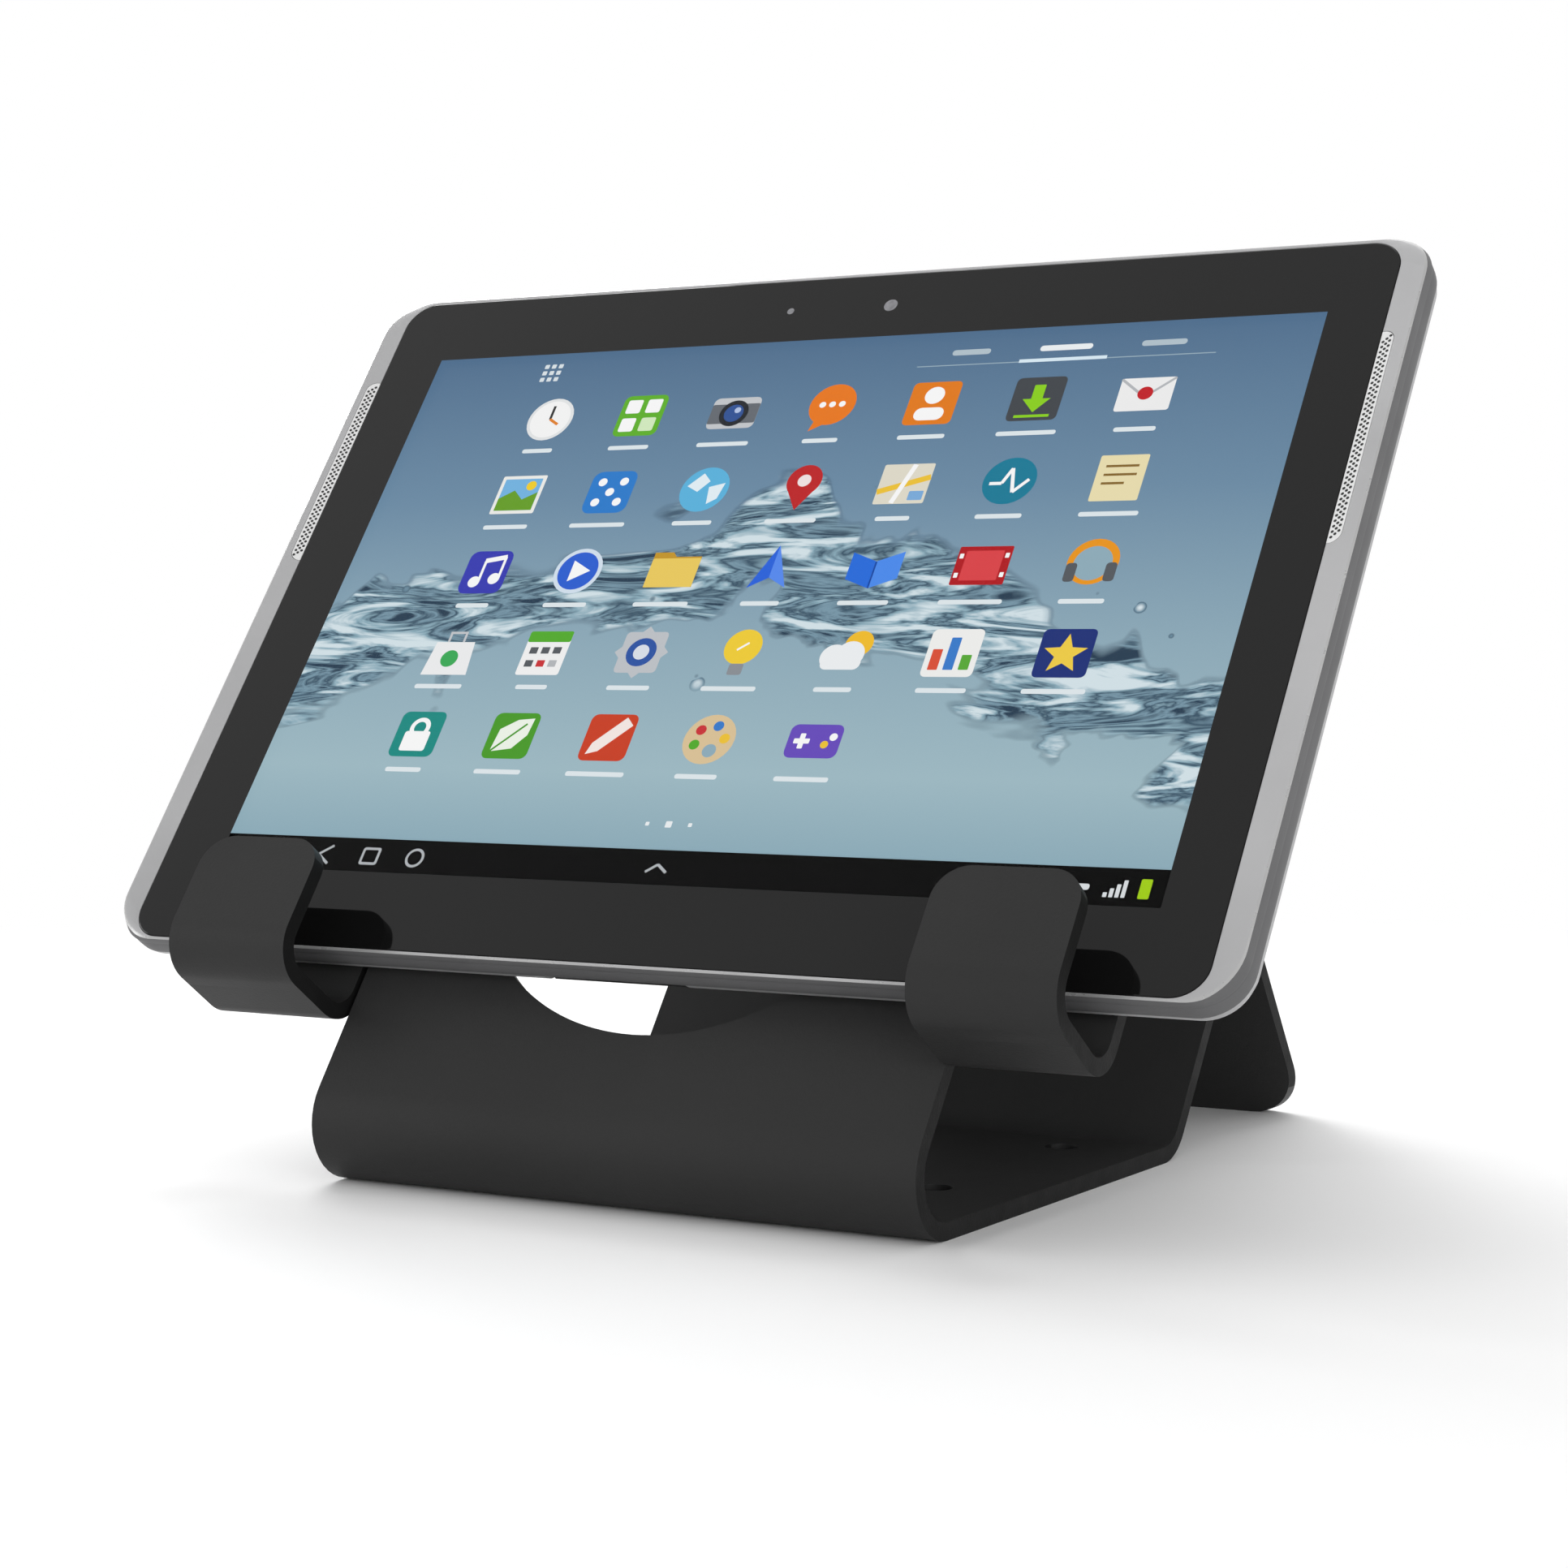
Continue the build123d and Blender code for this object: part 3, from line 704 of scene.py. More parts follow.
def build_back():
    """The back shell with its soft lower edge and, above it, a band painted darker as the shade in its
    groove.
    """
    middle = (1.0, 1.0, 0.3)
    first = 3 + len(SOFT_EDGE)
    last = first + len(BAND_EDGE)
    back = loft("back_shell", [
        inset(SHELL_INNER, BAND_LOW), inset(SHELL_INNER, BACK_INNER),
        centred(*middle, BACK_INNER), centred(*middle, BACK),
        *(inset(amount, level) for amount, level in SOFT_EDGE + BAND_EDGE),
        lining(SHELL_TOP), lining(BAND_LOW),
    ], material_of=lambda number: 1 if first <= number <= last else 0)
    painted(back, SILVER, BAND_SHADE)
    notch = rounded(DOCK_X, TAB_LOW, DOCK_W, DOCK_T, DOCK_CORNER)
    cut(back, prism("notch", notch, -3.0, 4.0))
    cut(back, prism("eye", circle(TAB_X, REAR_S, REAR_EYE_R), -3.0, 3.0))
    cut(back, prism("flash", circle(FLASH_X, REAR_S, FLASH_R, 32), -3.0, 3.0))
    # A long groove in the top edge leaves the keys and sockets free.
    groove = rounded(TAB_X, TAB_TOP + 5.0 - GROOVE_DEEP, GROOVE_W, 10.0, 1.0)
    cut(back, prism("groove", groove, BAND_LOW + 0.02, 8.0))
    finished(back, None, "tablet", ["back_cover"])


def build_rim():
    """The front frame: sides painted grey as their shade, a bright chamfer along the outer edge and a
    sloped face.
    """
    rim = loft("front_rim_piece", [
        inset(0.9, BAND_HIGH), inset(0.1, BAND_HIGH + 0.05), inset(0.0, 8.6),
        inset(0.2, RIM_TOP - 0.3, 1.0), inset(0.6, RIM_TOP, 1.6),
        round_glass(GLASS_GAP + 0.05, RIM_TOP), round_glass(GLASS_GAP, RIM_TOP - 0.05),
        round_glass(GLASS_GAP, LEDGE),
        centred(PANEL_W + PANEL_GAP, PANEL_H + PANEL_GAP, PANEL_CORNER, LEDGE),
        centred(PANEL_W + PANEL_GAP, PANEL_H + PANEL_GAP, PANEL_CORNER, BAND_HIGH),
    ], material_of=lambda number: (1, 1, 1, 2)[number] if number < 4 else 0, place=on_frame)
    painted(rim, SILVER, BAND_SHADE, EDGE)
    for hand in (-1, 1):
        cut(rim, prism("pocket", grille_shape(hand, 0.0), RIM_TOP - GRILLE_DEEP, 14.0))
    for x in (CAMERA_EYE_X, SENSOR_EYE_X):
        cut(rim, prism("eye", circle(x, EYES_S, EYE_POCKET_R, 32), 5.0, LEDGE + 0.05))
    finished(rim, None, "tablet", ["front_rim"])


def grille_shape(hand, grow):
    """The D shaped outline of a speaker grille, straight beside the glass."""
    steps = 8
    edge = GLASS_X + hand * (GLASS_W / 2 + GLASS_GAP)
    far = edge + hand * (GRILLE_W + grow - GRILLE_CORNER)
    low = GRILLE_S - GRILLE_HALF - grow
    high = GRILLE_S + GRILLE_HALF + grow
    points = [(edge, low)]
    for start, s in ((-90, low + GRILLE_CORNER), (0, high - GRILLE_CORNER)):
        for i in range(steps + 1):
            turn = math.radians(start + 90 * i / steps)
            points.append((far + hand * GRILLE_CORNER * math.cos(turn), s + GRILLE_CORNER * math.sin(turn)))
    points.append((edge, high))
    return points


def hole_group():
    """Geometry nodes that lay a slanted grid of small round discs, flat and centred."""
    group = bpy.data.node_groups.new("hole_grid", "GeometryNodeTree")
    sockets = (
        ("Columns", "NodeSocketInt", 3), ("Rows", "NodeSocketInt", 38),
        ("Width", "NodeSocketFloat", 0.0014), ("Length", "NodeSocketFloat", 0.0478),
        ("Radius", "NodeSocketFloat", 0.00034), ("Slant", "NodeSocketFloat", 0.95),
    )
    for name, kind, value in sockets:
        socket = group.interface.new_socket(name, in_out="INPUT", socket_type=kind)
        socket.default_value = value
    group.interface.new_socket("Geometry", in_out="OUTPUT", socket_type="NodeSocketGeometry")
    nodes = group.nodes
    links = group.links
    start = nodes.new("NodeGroupInput")
    end = nodes.new("NodeGroupOutput")
    grid = nodes.new("GeometryNodeMeshGrid")
    for name, socket in (
        ("Width", "Size X"), ("Length", "Size Y"), ("Columns", "Vertices X"), ("Rows", "Vertices Y"),
    ):
        links.new(start.outputs[name], grid.inputs[socket])
    place = nodes.new("GeometryNodeInputPosition")
    split = nodes.new("ShaderNodeSeparateXYZ")
    links.new(place.outputs["Position"], split.inputs["Vector"])
    slant = math_node(nodes, links, "MULTIPLY", split.outputs["X"], start.outputs["Slant"])
    offset = nodes.new("ShaderNodeCombineXYZ")
    links.new(slant, offset.inputs["Y"])
    shift = nodes.new("GeometryNodeSetPosition")
    links.new(grid.outputs["Mesh"], shift.inputs["Geometry"])
    links.new(offset.outputs["Vector"], shift.inputs["Offset"])
    disc = nodes.new("GeometryNodeMeshCircle")
    disc.fill_type = "NGON"
    disc.inputs["Vertices"].default_value = 12
    links.new(start.outputs["Radius"], disc.inputs["Radius"])
    copies = nodes.new("GeometryNodeInstanceOnPoints")
    links.new(shift.outputs["Geometry"], copies.inputs["Points"])
    links.new(disc.outputs["Mesh"], copies.inputs["Instance"])
    real = nodes.new("GeometryNodeRealizeInstances")
    links.new(copies.outputs["Instances"], real.inputs["Geometry"])
    paint = nodes.new("GeometryNodeSetMaterial")
    paint.inputs["Material"].default_value = HOLE
    links.new(real.outputs["Geometry"], paint.inputs["Geometry"])
    links.new(paint.outputs["Geometry"], end.inputs["Geometry"])
    return group


HOLES = hole_group()


def build_grille(hand, name, node):
    """A light strip with holes painted dark as the shade inside them; the holes lie just above its face."""
    strip = prism(name, grille_shape(hand, -0.1), RIM_TOP - GRILLE_DEEP, RIM_TOP - 0.02, on_frame)
    finished(strip, GRILLE, "tablet", [node])
    holes = link(name + "_holes", bpy.data.meshes.new(name + "_holes"))
    step = holes.modifiers.new("grid", "NODES")
    step.node_group = HOLES
    baked(holes)
    middle = GLASS_X + hand * (GLASS_W / 2 + HOLES_OUT)
    for vertex in holes.data.vertices:
        x, s, n = vertex.co * 1000.0
        vertex.co = on_frame(middle + x, GRILLE_S + s, RIM_TOP + n)
    finished(holes, HOLE, "tablet", ())


build_back()
build_rim()
build_grille(-1, "grille_left", "speaker_grille_left")
build_grille(1, "grille_right", "speaker_grille_right")


def window(grow, level):
    """A ring round the lit screen, with corners that are all but sharp."""
    return (SCREEN_X, TAB_S, SCREEN_W + grow, SCREEN_H + grow, 0.05, level)


def build_glass():
    """One sheet of glass with a printed border; its two end faces are the clear window."""
    glass = loft("glass_sheet", [
        window(3.0, GLASS_BACK), round_glass(0.0, GLASS_BACK), round_glass(0.0, GLASS_TOP - 0.2),
        round_glass(-0.06, GLASS_TOP - 0.06), round_glass(-0.2, GLASS_TOP), window(0.4, GLASS_TOP),
    ], closed=False, material_of=lambda number: 1 if number in (-1, 5) else 0)
    painted(glass, BORDER, PANE)
    finished(glass, None, "tablet", ["cover_glass"], GLASS_ANGLE)
    for x, radius, name in ((CAMERA_EYE_X, 1.6, "front_eye"), (SENSOR_EYE_X, 0.85, "sensor_eye")):
        spot = prism(name, circle(x, EYES_S, radius, 32), GLASS_TOP, GLASS_TOP + 0.02)
        finished(spot, EYE, "tablet", ())


build_glass()


# ---- The smaller pieces keep their shape and get their finish here

# The mid frame and the card cover take the band's grey, painted shade along the tablet's sides.
SMALL_FINISHES = {
    "seam_welds": WELD, "mid_frame": BAND_SHADE, "speaker_left": PLASTIC, "speaker_right": PLASTIC,
    "dock_connector": PLASTIC, "front_camera": LENS, "light_sensor": LENS, "rear_camera": KEY,
    "rear_camera_window": LENS, "flash_window": FLASH, "battery": FOIL, "main_board": BOARD,
    "headphone_jack": PLASTIC, "card_cover": BAND_SHADE, "adhesive_pad": FOAM, "security_plate": ZINC,
    "power_button": KEY, "volume_rocker": KEY,
}
for node, material in SMALL_FINISHES.items():
    painted(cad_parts[node], material)


# ---- The lit picture: a wallpaper, plain tiles, bars in place of words and a row of signs

# Its lowest layer's level, the step from layer to layer, and how far it runs past the screen.
PICTURE = 8.74
LAYER = 0.025
PICTURE_EDGE = 1.6
TILE_LEFT = 37.0
TILE_STEP = 24.2
TILE_TOP_S = 190.0
ROW_STEP = 21.4
TILES_IN_ROW = 7
NAV_BAR = 8.6
BLACK = "020202"
SIGN_GREY = "b9bdc1"


class Picture:
    """Flat marks that are laid one over the other, each with its own colour."""

    def __init__(self):
        self.work = bmesh.new()
        self.tint = self.work.loops.layers.float_color.new("tint")

    def mark(self, points, layer, colour):
        level = PICTURE + LAYER * layer
        face = self.work.faces.new([self.work.verts.new(at(x, s, level)) for x, s in points])
        for loop in face.loops:
            loop[self.tint] = rgb(colour)

    def disc(self, x, s, radius, layer, colour):
        self.mark(circle(x, s, radius, 28), layer, colour)

    def tile(self, x, s, width, height, corner, layer, colour):
        self.mark(rounded(x, s, width, height, corner, 4), layer, colour)

    def line(self, x1, s1, x2, s2, width, layer, colour):
        along = Vector((x2 - x1, s2 - s1)).normalized() * (width / 2)
        a, b = along.x, along.y
        self.mark([(x1 - b, s1 + a), (x1 + b, s1 - a), (x2 + b, s2 - a), (x2 - b, s2 + a)], layer, colour)

    def done(self, name):
        for face in self.work.faces:
            face.normal_update()
            if face.normal.dot(Vector((0, -RISE, RUN))) < 0:
                face.normal_flip()
        finished(made(name, self.work), MARKS, "tablet", ())


# Each sign is a base and its marks on a field of 12 by 12, as (kind, numbers, colour). A disc's
# numbers are its middle and radius, a tile's its middle, width, height and corner, a line's its
# two ends and width, and a shape's its corners.
DISC, TILE, LINE, SHAPE = "disc", "tile", "line", "shape"
SIGNS = {
    "clock": [
        (DISC, (0, 0, 6), "e9ebec"), (DISC, (0, 0, 5.2), "fbfbfb"),
        (LINE, (0, 0, 0, 3.8, 0.7), "3a3a3a"), (LINE, (0, 0, 2.6, -1.6, 0.7), "e8862a"),
    ],
    "squares": [
        (TILE, (0, 0, 11.5, 11.5, 1.6), "63b52e"), (TILE, (-2.6, 2.6, 3.8, 3.8, 0.5), "ffffff"),
        (TILE, (2.6, 2.6, 3.8, 3.8, 0.5), "ffffff"), (TILE, (-2.6, -2.6, 3.8, 3.8, 0.5), "ffffff"),
        (TILE, (2.6, -2.6, 3.8, 3.8, 0.5), "d8f0c4"),
    ],
    "camera": [
        (TILE, (0, -0.4, 12, 8.6, 1.4), "c9ccd0"), (TILE, (0, -0.6, 12, 5.4, 0.4), "6a6f76"),
        (DISC, (0, -0.5, 3.6), "2a2d33"), (DISC, (0, -0.5, 2.4), "35579a"),
        (DISC, (0.8, 0.3, 0.8), "b7c8ea"),
    ],
    "speech": [
        (DISC, (0, 0.8, 5.6), "ef7d22"), (SHAPE, ((-3, -3), (0.5, -4), (-3.8, -6.4)), "ef7d22"),
        (DISC, (-2.4, 0.8, 0.8), "ffffff"), (DISC, (0, 0.8, 0.8), "ffffff"),
        (DISC, (2.4, 0.8, 0.8), "ffffff"),
    ],
    "contact": [
        (TILE, (0, 0, 11.5, 11.5, 1.2), "e97f1e"), (DISC, (0, 2.1, 2.3), "ffffff"),
        (TILE, (0, -2.9, 7, 3.4, 1.6), "ffffff"),
    ],
    "download": [
        (TILE, (0, 0, 11.5, 11.5, 1.2), "474b50"), (TILE, (0, 1.4, 2.6, 4.6, 0.2), "8fd51f"),
        (SHAPE, ((-3.2, 0), (0, -3.6), (3.2, 0)), "8fd51f"),
        (LINE, (-4, -4.6, 4, -4.6, 0.7), "8fd51f"),
    ],
    "letter": [
        (TILE, (0, 0, 12, 8.6, 0.6), "f4f4f4"), (LINE, (-6, 4.1, 0, -0.8, 0.6), "b9bcc0"),
        (LINE, (0, -0.8, 6, 4.1, 0.6), "b9bcc0"), (DISC, (0, 0.2, 1.7), "c8242c"),
    ],
    "landscape": [
        (TILE, (0, 0, 11.8, 10.6, 0.4), "f2f2ee"), (TILE, (0, 0, 10, 8.8, 0.2), "77b8e6"),
        (SHAPE, ((-5, -4.4), (-5, -1), (-1.4, 1.2), (1.4, -1.4), (5, 0.6), (5, -4.4)), "6aa329"),
        (DISC, (2.6, 2.4, 1.3), "f7d32c"),
    ],
    "dice": [
        (TILE, (0, 0, 11.5, 11.5, 2.2), "2f7fd0"), (DISC, (-2.8, 2.8, 1.1), "ffffff"),
        (DISC, (2.8, 2.8, 1.1), "ffffff"), (DISC, (0, 0, 1.1), "ffffff"),
        (DISC, (-2.8, -2.8, 1.1), "ffffff"), (DISC, (2.8, -2.8, 1.1), "ffffff"),
    ],
    "globe": [
        (DISC, (0, 0, 6), "5fb7e2"),
        (SHAPE, ((-4.6, 1), (-1.4, 4.4), (0.8, 2.2), (-1.6, -0.6)), "e8f5fb"),
        (SHAPE, ((1, 0.6), (4.8, 1.6), (4, -2.6), (1.8, -4)), "e8f5fb"),
    ],
    "pin": [
        (DISC, (0, 1.6, 4.2), "c3282b"), (SHAPE, ((-3.6, -0.4), (3.6, -0.4), (0, -6.2)), "c3282b"),
        (DISC, (0, 1.6, 1.6), "f7e9e9"),
    ],
    "map": [
        (TILE, (0, 0, 11.8, 10.4, 0.4), "e5e0cf"), (LINE, (-5.8, -2, 5.8, 1.6, 1.5), "f3c73a"),
        (LINE, (-1.6, -5, 1.4, 5, 1.2), "ffffff"), (TILE, (3.6, -3.2, 3.4, 2.4, 0.3), "7fb0e0"),
    ],
    "pulse": [
        (DISC, (0, 0, 6), "1d7f9c"), (LINE, (-4.4, -0.6, -1.6, -0.6, 0.8), "ffffff"),
        (LINE, (-1.6, -0.6, 0, 3.2, 0.8), "ffffff"), (LINE, (0, 3.2, 1.4, -3, 0.8), "ffffff"),
        (LINE, (1.4, -3, 4.4, 0.2, 0.8), "ffffff"),
    ],
    "note": [
        (TILE, (0, 0, 10.6, 11.6, 0.4), "efe3b4"), (LINE, (-3.6, 3, 3.6, 3, 0.6), "8a6a32"),
        (LINE, (-3.6, 0.8, 3.6, 0.8, 0.6), "8a6a32"),
        (LINE, (-3.6, -1.4, 1.4, -1.4, 0.6), "8a6a32"),
    ],
    "music": [
        (TILE, (0, 0, 11.5, 11.5, 2.0), "3b3fb6"), (DISC, (-2.2, -2.6, 1.5), "ffffff"),
        (DISC, (2.8, -1.8, 1.5), "ffffff"), (LINE, (-1, -2.6, -1, 3, 0.7), "ffffff"),
        (LINE, (4, -1.8, 4, 4, 0.7), "ffffff"), (LINE, (-1.2, 3, 4.2, 4, 1.3), "ffffff"),
    ],
    "play": [
        (DISC, (0, 0, 6), "d8e6f4"), (DISC, (0, 0, 5), "2f62d6"),
        (SHAPE, ((-1.8, 2.8), (-1.8, -2.8), (3.2, 0)), "ffffff"),
    ],
    "folder": [
        (SHAPE, ((-6, 4.6), (-1.4, 4.6), (-0.4, 3.4), (6, 3.4), (6, -4.6), (-6, -4.6)), "c99a2c"),
        (TILE, (0, -0.8, 12, 7.6, 0.4), "f0cf62"),
    ],
    "arrow": [
        (SHAPE, ((0, 6), (4.6, -5), (0, -2.4), (-4.6, -5)), "2c66e0"),
        (SHAPE, ((0, 6), (4.6, -5), (0, -2.4)), "5a8ef4"),
    ],
    "book": [
        (SHAPE, ((-6, 3.8), (0, 1.4), (0, -5.4), (-6, -3)), "2a6fe0"),
        (SHAPE, ((6, 3.8), (0, 1.4), (0, -5.4), (6, -3)), "4f8ff2"),
        (LINE, (0, 1.4, 0, -5.4, 0.4), "1a4aa6"),
    ],
    "film": [
        (TILE, (0, 0, 12, 9.6, 0.4), "b61d24"), (TILE, (0, 0, 8.4, 7.4, 0.2), "e0474c"),
        (TILE, (-5.1, 2.4, 0.9, 1.2, 0.1), "ffffff"), (TILE, (-5.1, -2.4, 0.9, 1.2, 0.1), "ffffff"),
        (TILE, (5.1, 2.4, 0.9, 1.2, 0.1), "ffffff"), (TILE, (5.1, -2.4, 0.9, 1.2, 0.1), "ffffff"),
    ],
    "headphones": [
        (DISC, (0, 0.6, 5.6), "f09a1f"), (DISC, (0, 0.2, 4.2), "93b1bf"),
        (TILE, (-4.3, -2, 2.4, 4.6, 0.8), "5a5e63"), (TILE, (4.3, -2, 2.4, 4.6, 0.8), "5a5e63"),
    ],
    "bag": [
        (SHAPE, ((-5, 2.6), (5, 2.6), (6, -6), (-6, -6)), "f2f3f4"),
        (LINE, (-2, 2.6, -2, 5, 0.6), "c9ccd0"), (LINE, (2, 2.6, 2, 5, 0.6), "c9ccd0"),
        (LINE, (-2.3, 5, 2.3, 5, 0.6), "c9ccd0"), (DISC, (0, -1.8, 2.2), "3fae5b"),
    ],
    "calendar": [
        (TILE, (0, -0.3, 11, 11.2, 0.6), "f7f7f7"), (TILE, (0, 4, 11, 2.8, 0.5), "57b030"),
        (TILE, (-3, 0.4, 2, 1.7, 0.1), "5b5f64"), (TILE, (0, 0.4, 2, 1.7, 0.1), "5b5f64"),
        (TILE, (3, 0.4, 2, 1.7, 0.1), "5b5f64"), (TILE, (-3, -3, 2, 1.7, 0.1), "5b5f64"),
        (TILE, (0, -3, 2, 1.7, 0.1), "d0373c"), (TILE, (3, -3, 2, 1.7, 0.1), "b9bcc0"),
    ],
    "cog": [
        (TILE, (0, 0, 10.4, 10.4, 1.0), "c3c7cc"),
        (SHAPE, ((0, 6.6), (6.6, 0), (0, -6.6), (-6.6, 0)), "c3c7cc"),
        (DISC, (0, 0, 3.6), "3158a8"), (DISC, (0, 0, 1.9), "dfe5ef"),
    ],
    "bulb": [
        (DISC, (0, 1.4, 4.4), "f6d23a"), (TILE, (0, -4.2, 3.4, 2.8, 0.5), "8f949a"),
        (LINE, (-1.2, 0.6, 1.2, 2.4, 0.5), "ffffff"),
    ],
    "cloud": [
        (DISC, (2.6, 2.2, 3.2), "f7c22f"), (DISC, (-2.4, -1, 3), "f2f5f7"),
        (DISC, (1.2, -0.6, 3.4), "f2f5f7"), (TILE, (-0.2, -2.6, 9.2, 3.2, 1.5), "f2f5f7"),
    ],
    "chart": [
        (TILE, (0, 0, 11.5, 11.5, 1.2), "f5f5f3"), (TILE, (-3.4, -1.6, 2.2, 5, 0.2), "e0533a"),
        (TILE, (0, -0.2, 2.2, 7.8, 0.2), "3d7fd0"), (TILE, (3.4, -2.3, 2.2, 3.6, 0.2), "5cae3a"),
    ],
    "star": [
        (TILE, (0, 0, 11.5, 11.5, 1.2), "22357c"),
        (SHAPE, ((0, 4.6), (1.3, 1.4), (4.6, 1.2), (2, -0.9), (2.9, -4.2), (0, -2.4), (-2.9, -4.2),
                 (-2, -0.9), (-4.6, 1.2), (-1.3, 1.4)), "f5d24a"),
    ],
    "lock": [
        (TILE, (0, 0, 11.5, 11.5, 1.6), "1f8f86"), (DISC, (0, 1.6, 2.6), "ffffff"),
        (DISC, (0, 1.6, 1.5), "1f8f86"), (TILE, (0, -1.8, 6.6, 5, 0.6), "ffffff"),
    ],
    "leaf": [
        (TILE, (0, 0, 11.5, 11.5, 1.6), "4d9f2c"),
        (SHAPE, ((-4, -4), (-3.4, 1.6), (0.4, 4), (4.4, 4.4), (4, 0.2), (1.2, -3.2)), "f3faee"),
        (LINE, (-4, -4, 3, 3, 0.5), "4d9f2c"),
    ],
    "pencil": [
        (TILE, (0, 0, 11.5, 11.5, 1.6), "cf4327"),
        (SHAPE, ((-4.2, -4.2), (-3.4, -1.4), (3, 5), (5, 3), (-1.4, -3.4)), "fbeee9"),
    ],
    "palette": [
        (DISC, (0, 0, 6), "e0c79c"), (DISC, (-2.6, 2.2, 1.2), "d0373c"),
        (DISC, (1.2, 3.2, 1.2), "3d7fd0"), (DISC, (3.6, 0.2, 1.2), "f3c73a"),
        (DISC, (-3, -1.4, 1.2), "57b030"), (DISC, (1, -2.8, 1.6), "93b1bf"),
    ],
    "gamepad": [
        (TILE, (0, 0, 12, 8, 1.6), "6b4fc0"), (TILE, (-2.8, 0, 3.6, 1.2, 0.2), "ffffff"),
        (TILE, (-2.8, 0, 1.2, 3.6, 0.2), "ffffff"), (DISC, (2.6, -0.8, 0.9), "f3c73a"),
        (DISC, (4.2, 1, 0.9), "ffffff"),
    ],
}


def add_sign(picture, marks, x, s):
    """Lays a sign's marks one over the other round its middle."""
    for number, (kind, values, colour) in enumerate(marks):
        layer = 2 + min(number, 4)
        if kind == SHAPE:
            picture.mark([(x + a, s + b) for a, b in values], layer, colour)
            continue
        a, b, *rest = values
        if kind == DISC:
            picture.disc(x + a, s + b, *rest, layer, colour)
        elif kind == TILE:
            picture.tile(x + a, s + b, *rest, layer, colour)
        else:
            c, d, width = rest
            picture.line(x + a, s + b, x + c, s + d, width, layer, colour)


def lay_tiles(picture):
    """Signs in rows, the last row short, with a bar under each in place of its name."""
    for number, marks in enumerate(SIGNS.values()):
        row, column = divmod(number, TILES_IN_ROW)
        x = SCREEN_LEFT + TILE_LEFT + column * TILE_STEP
        s = TILE_TOP_S - row * ROW_STEP
        add_sign(picture, marks, x, s)
        width = 8.0 + (number * 37 % 11) * 0.62
        picture.tile(x, s - 9.0, width, 1.15, 0.5, 2, "e4edf1")


def lay_top(picture):
    """Three tabs on the right with the middle one chosen, a grid sign and three page dots."""
    for number, width in enumerate((9.0, 12.0, 10.0)):
        x = SCREEN_RIGHT - 78.0 + number * 22.0
        picture.tile(x, 203.6, width, 1.5, 0.7, 2, "f2f6f8" if number == 1 else "b7c7d1")
    picture.line(SCREEN_RIGHT - 90.0, 200.2, SCREEN_RIGHT - 22.0, 200.2, 0.25, 2, "9db4c2")
    picture.line(SCREEN_RIGHT - 66.0, 200.4, SCREEN_RIGHT - 46.0, 200.4, 0.9, 3, "dff1fb")
    for a in range(3):
        for b in range(3):
            picture.tile(SCREEN_LEFT + 30.0 + a * 1.9, 201.9 + b * 1.9, 1.2, 1.2, 0.2, 2, "dfe8ed")
    for number in range(3):
        size = 1.5 if number == 1 else 0.9
        picture.tile(SCREEN_X - 6.0 + number * 5.0, 84.0, size, size, 0.2, 2, "eef3f5")


def lay_bar(picture):
    """The black bar along the lower edge: back, home, round and up signs, strength and charge."""
    left = SCREEN_LEFT - PICTURE_EDGE
    right = SCREEN_RIGHT + PICTURE_EDGE
    low = SCREEN_LOW - PICTURE_EDGE
    top = SCREEN_LOW + NAV_BAR
    picture.mark([(left, low), (right, low), (right, top), (left, top)], 1, BLACK)
    mid = SCREEN_LOW + NAV_BAR / 2
    x = SCREEN_LEFT + 26.5
    picture.line(x - 2.0, mid, x + 1.2, mid + 2.2, 0.6, 2, SIGN_GREY)
    picture.line(x - 2.0, mid, x + 1.2, mid - 2.2, 0.6, 2, SIGN_GREY)
    x = SCREEN_LEFT + 38.0
    picture.tile(x, mid, 4.6, 4.2, 0.6, 2, SIGN_GREY)
    picture.tile(x, mid, 3.4, 3.0, 0.3, 3, BLACK)
    x = SCREEN_LEFT + 49.5
    picture.disc(x, mid, 2.3, 2, SIGN_GREY)
    picture.disc(x, mid, 1.7, 3, BLACK)
    x = SCREEN_X
    picture.line(x - 2.4, mid - 0.9, x, mid + 0.9, 0.6, 2, SIGN_GREY)
    picture.line(x, mid + 0.9, x + 2.4, mid - 0.9, 0.6, 2, SIGN_GREY)
    x = SCREEN_RIGHT - 4.4
    picture.tile(x, mid, 2.2, 4.2, 0.3, 2, "a6d418")
    for number in range(4):
        height = 1.0 + number * 0.9
        picture.tile(x - 7.6 + number * 1.2, mid - 2.0 + height / 2, 0.8, height, 0.1, 2, "dfe3e6")
    picture.tile(x - 14.0, mid, 6.0, 1.3, 0.5, 2, "dfe3e6")


def build_screen():
    """The panel behind the glass, with its wallpaper and the marks over it."""
    panel = loft("screen_panel", [
        centred(PANEL_W, PANEL_H, PANEL_CORNER, PANEL_LOW),
        centred(PANEL_W, PANEL_H, PANEL_CORNER, PANEL_TOP),
    ], closed=False)
    finished(panel, PLASTIC, "tablet", ["display_panel"])

    width = SCREEN_W + 2 * PICTURE_EDGE
    height = SCREEN_H + 2 * PICTURE_EDGE
    corners = ((0, 0), (1, 0), (1, 1), (0, 1))
    work = bmesh.new()
    uv = work.loops.layers.uv.new("UVMap")
    face = work.faces.new([
        work.verts.new(at(SCREEN_X + (a - 0.5) * width, TAB_S + (b - 0.5) * height, PICTURE))
        for a, b in corners
    ])
    for loop, corner in zip(face.loops, corners):
        loop[uv].uv = corner
    finished(made("screen_picture", work), WALLPAPER, "tablet", ())

    picture = Picture()
    lay_tiles(picture)
    lay_top(picture)
    lay_bar(picture)
    picture.done("screen_marks")


build_screen()


# ---- Light, floor and camera

FLOOR_HALF = 6.0
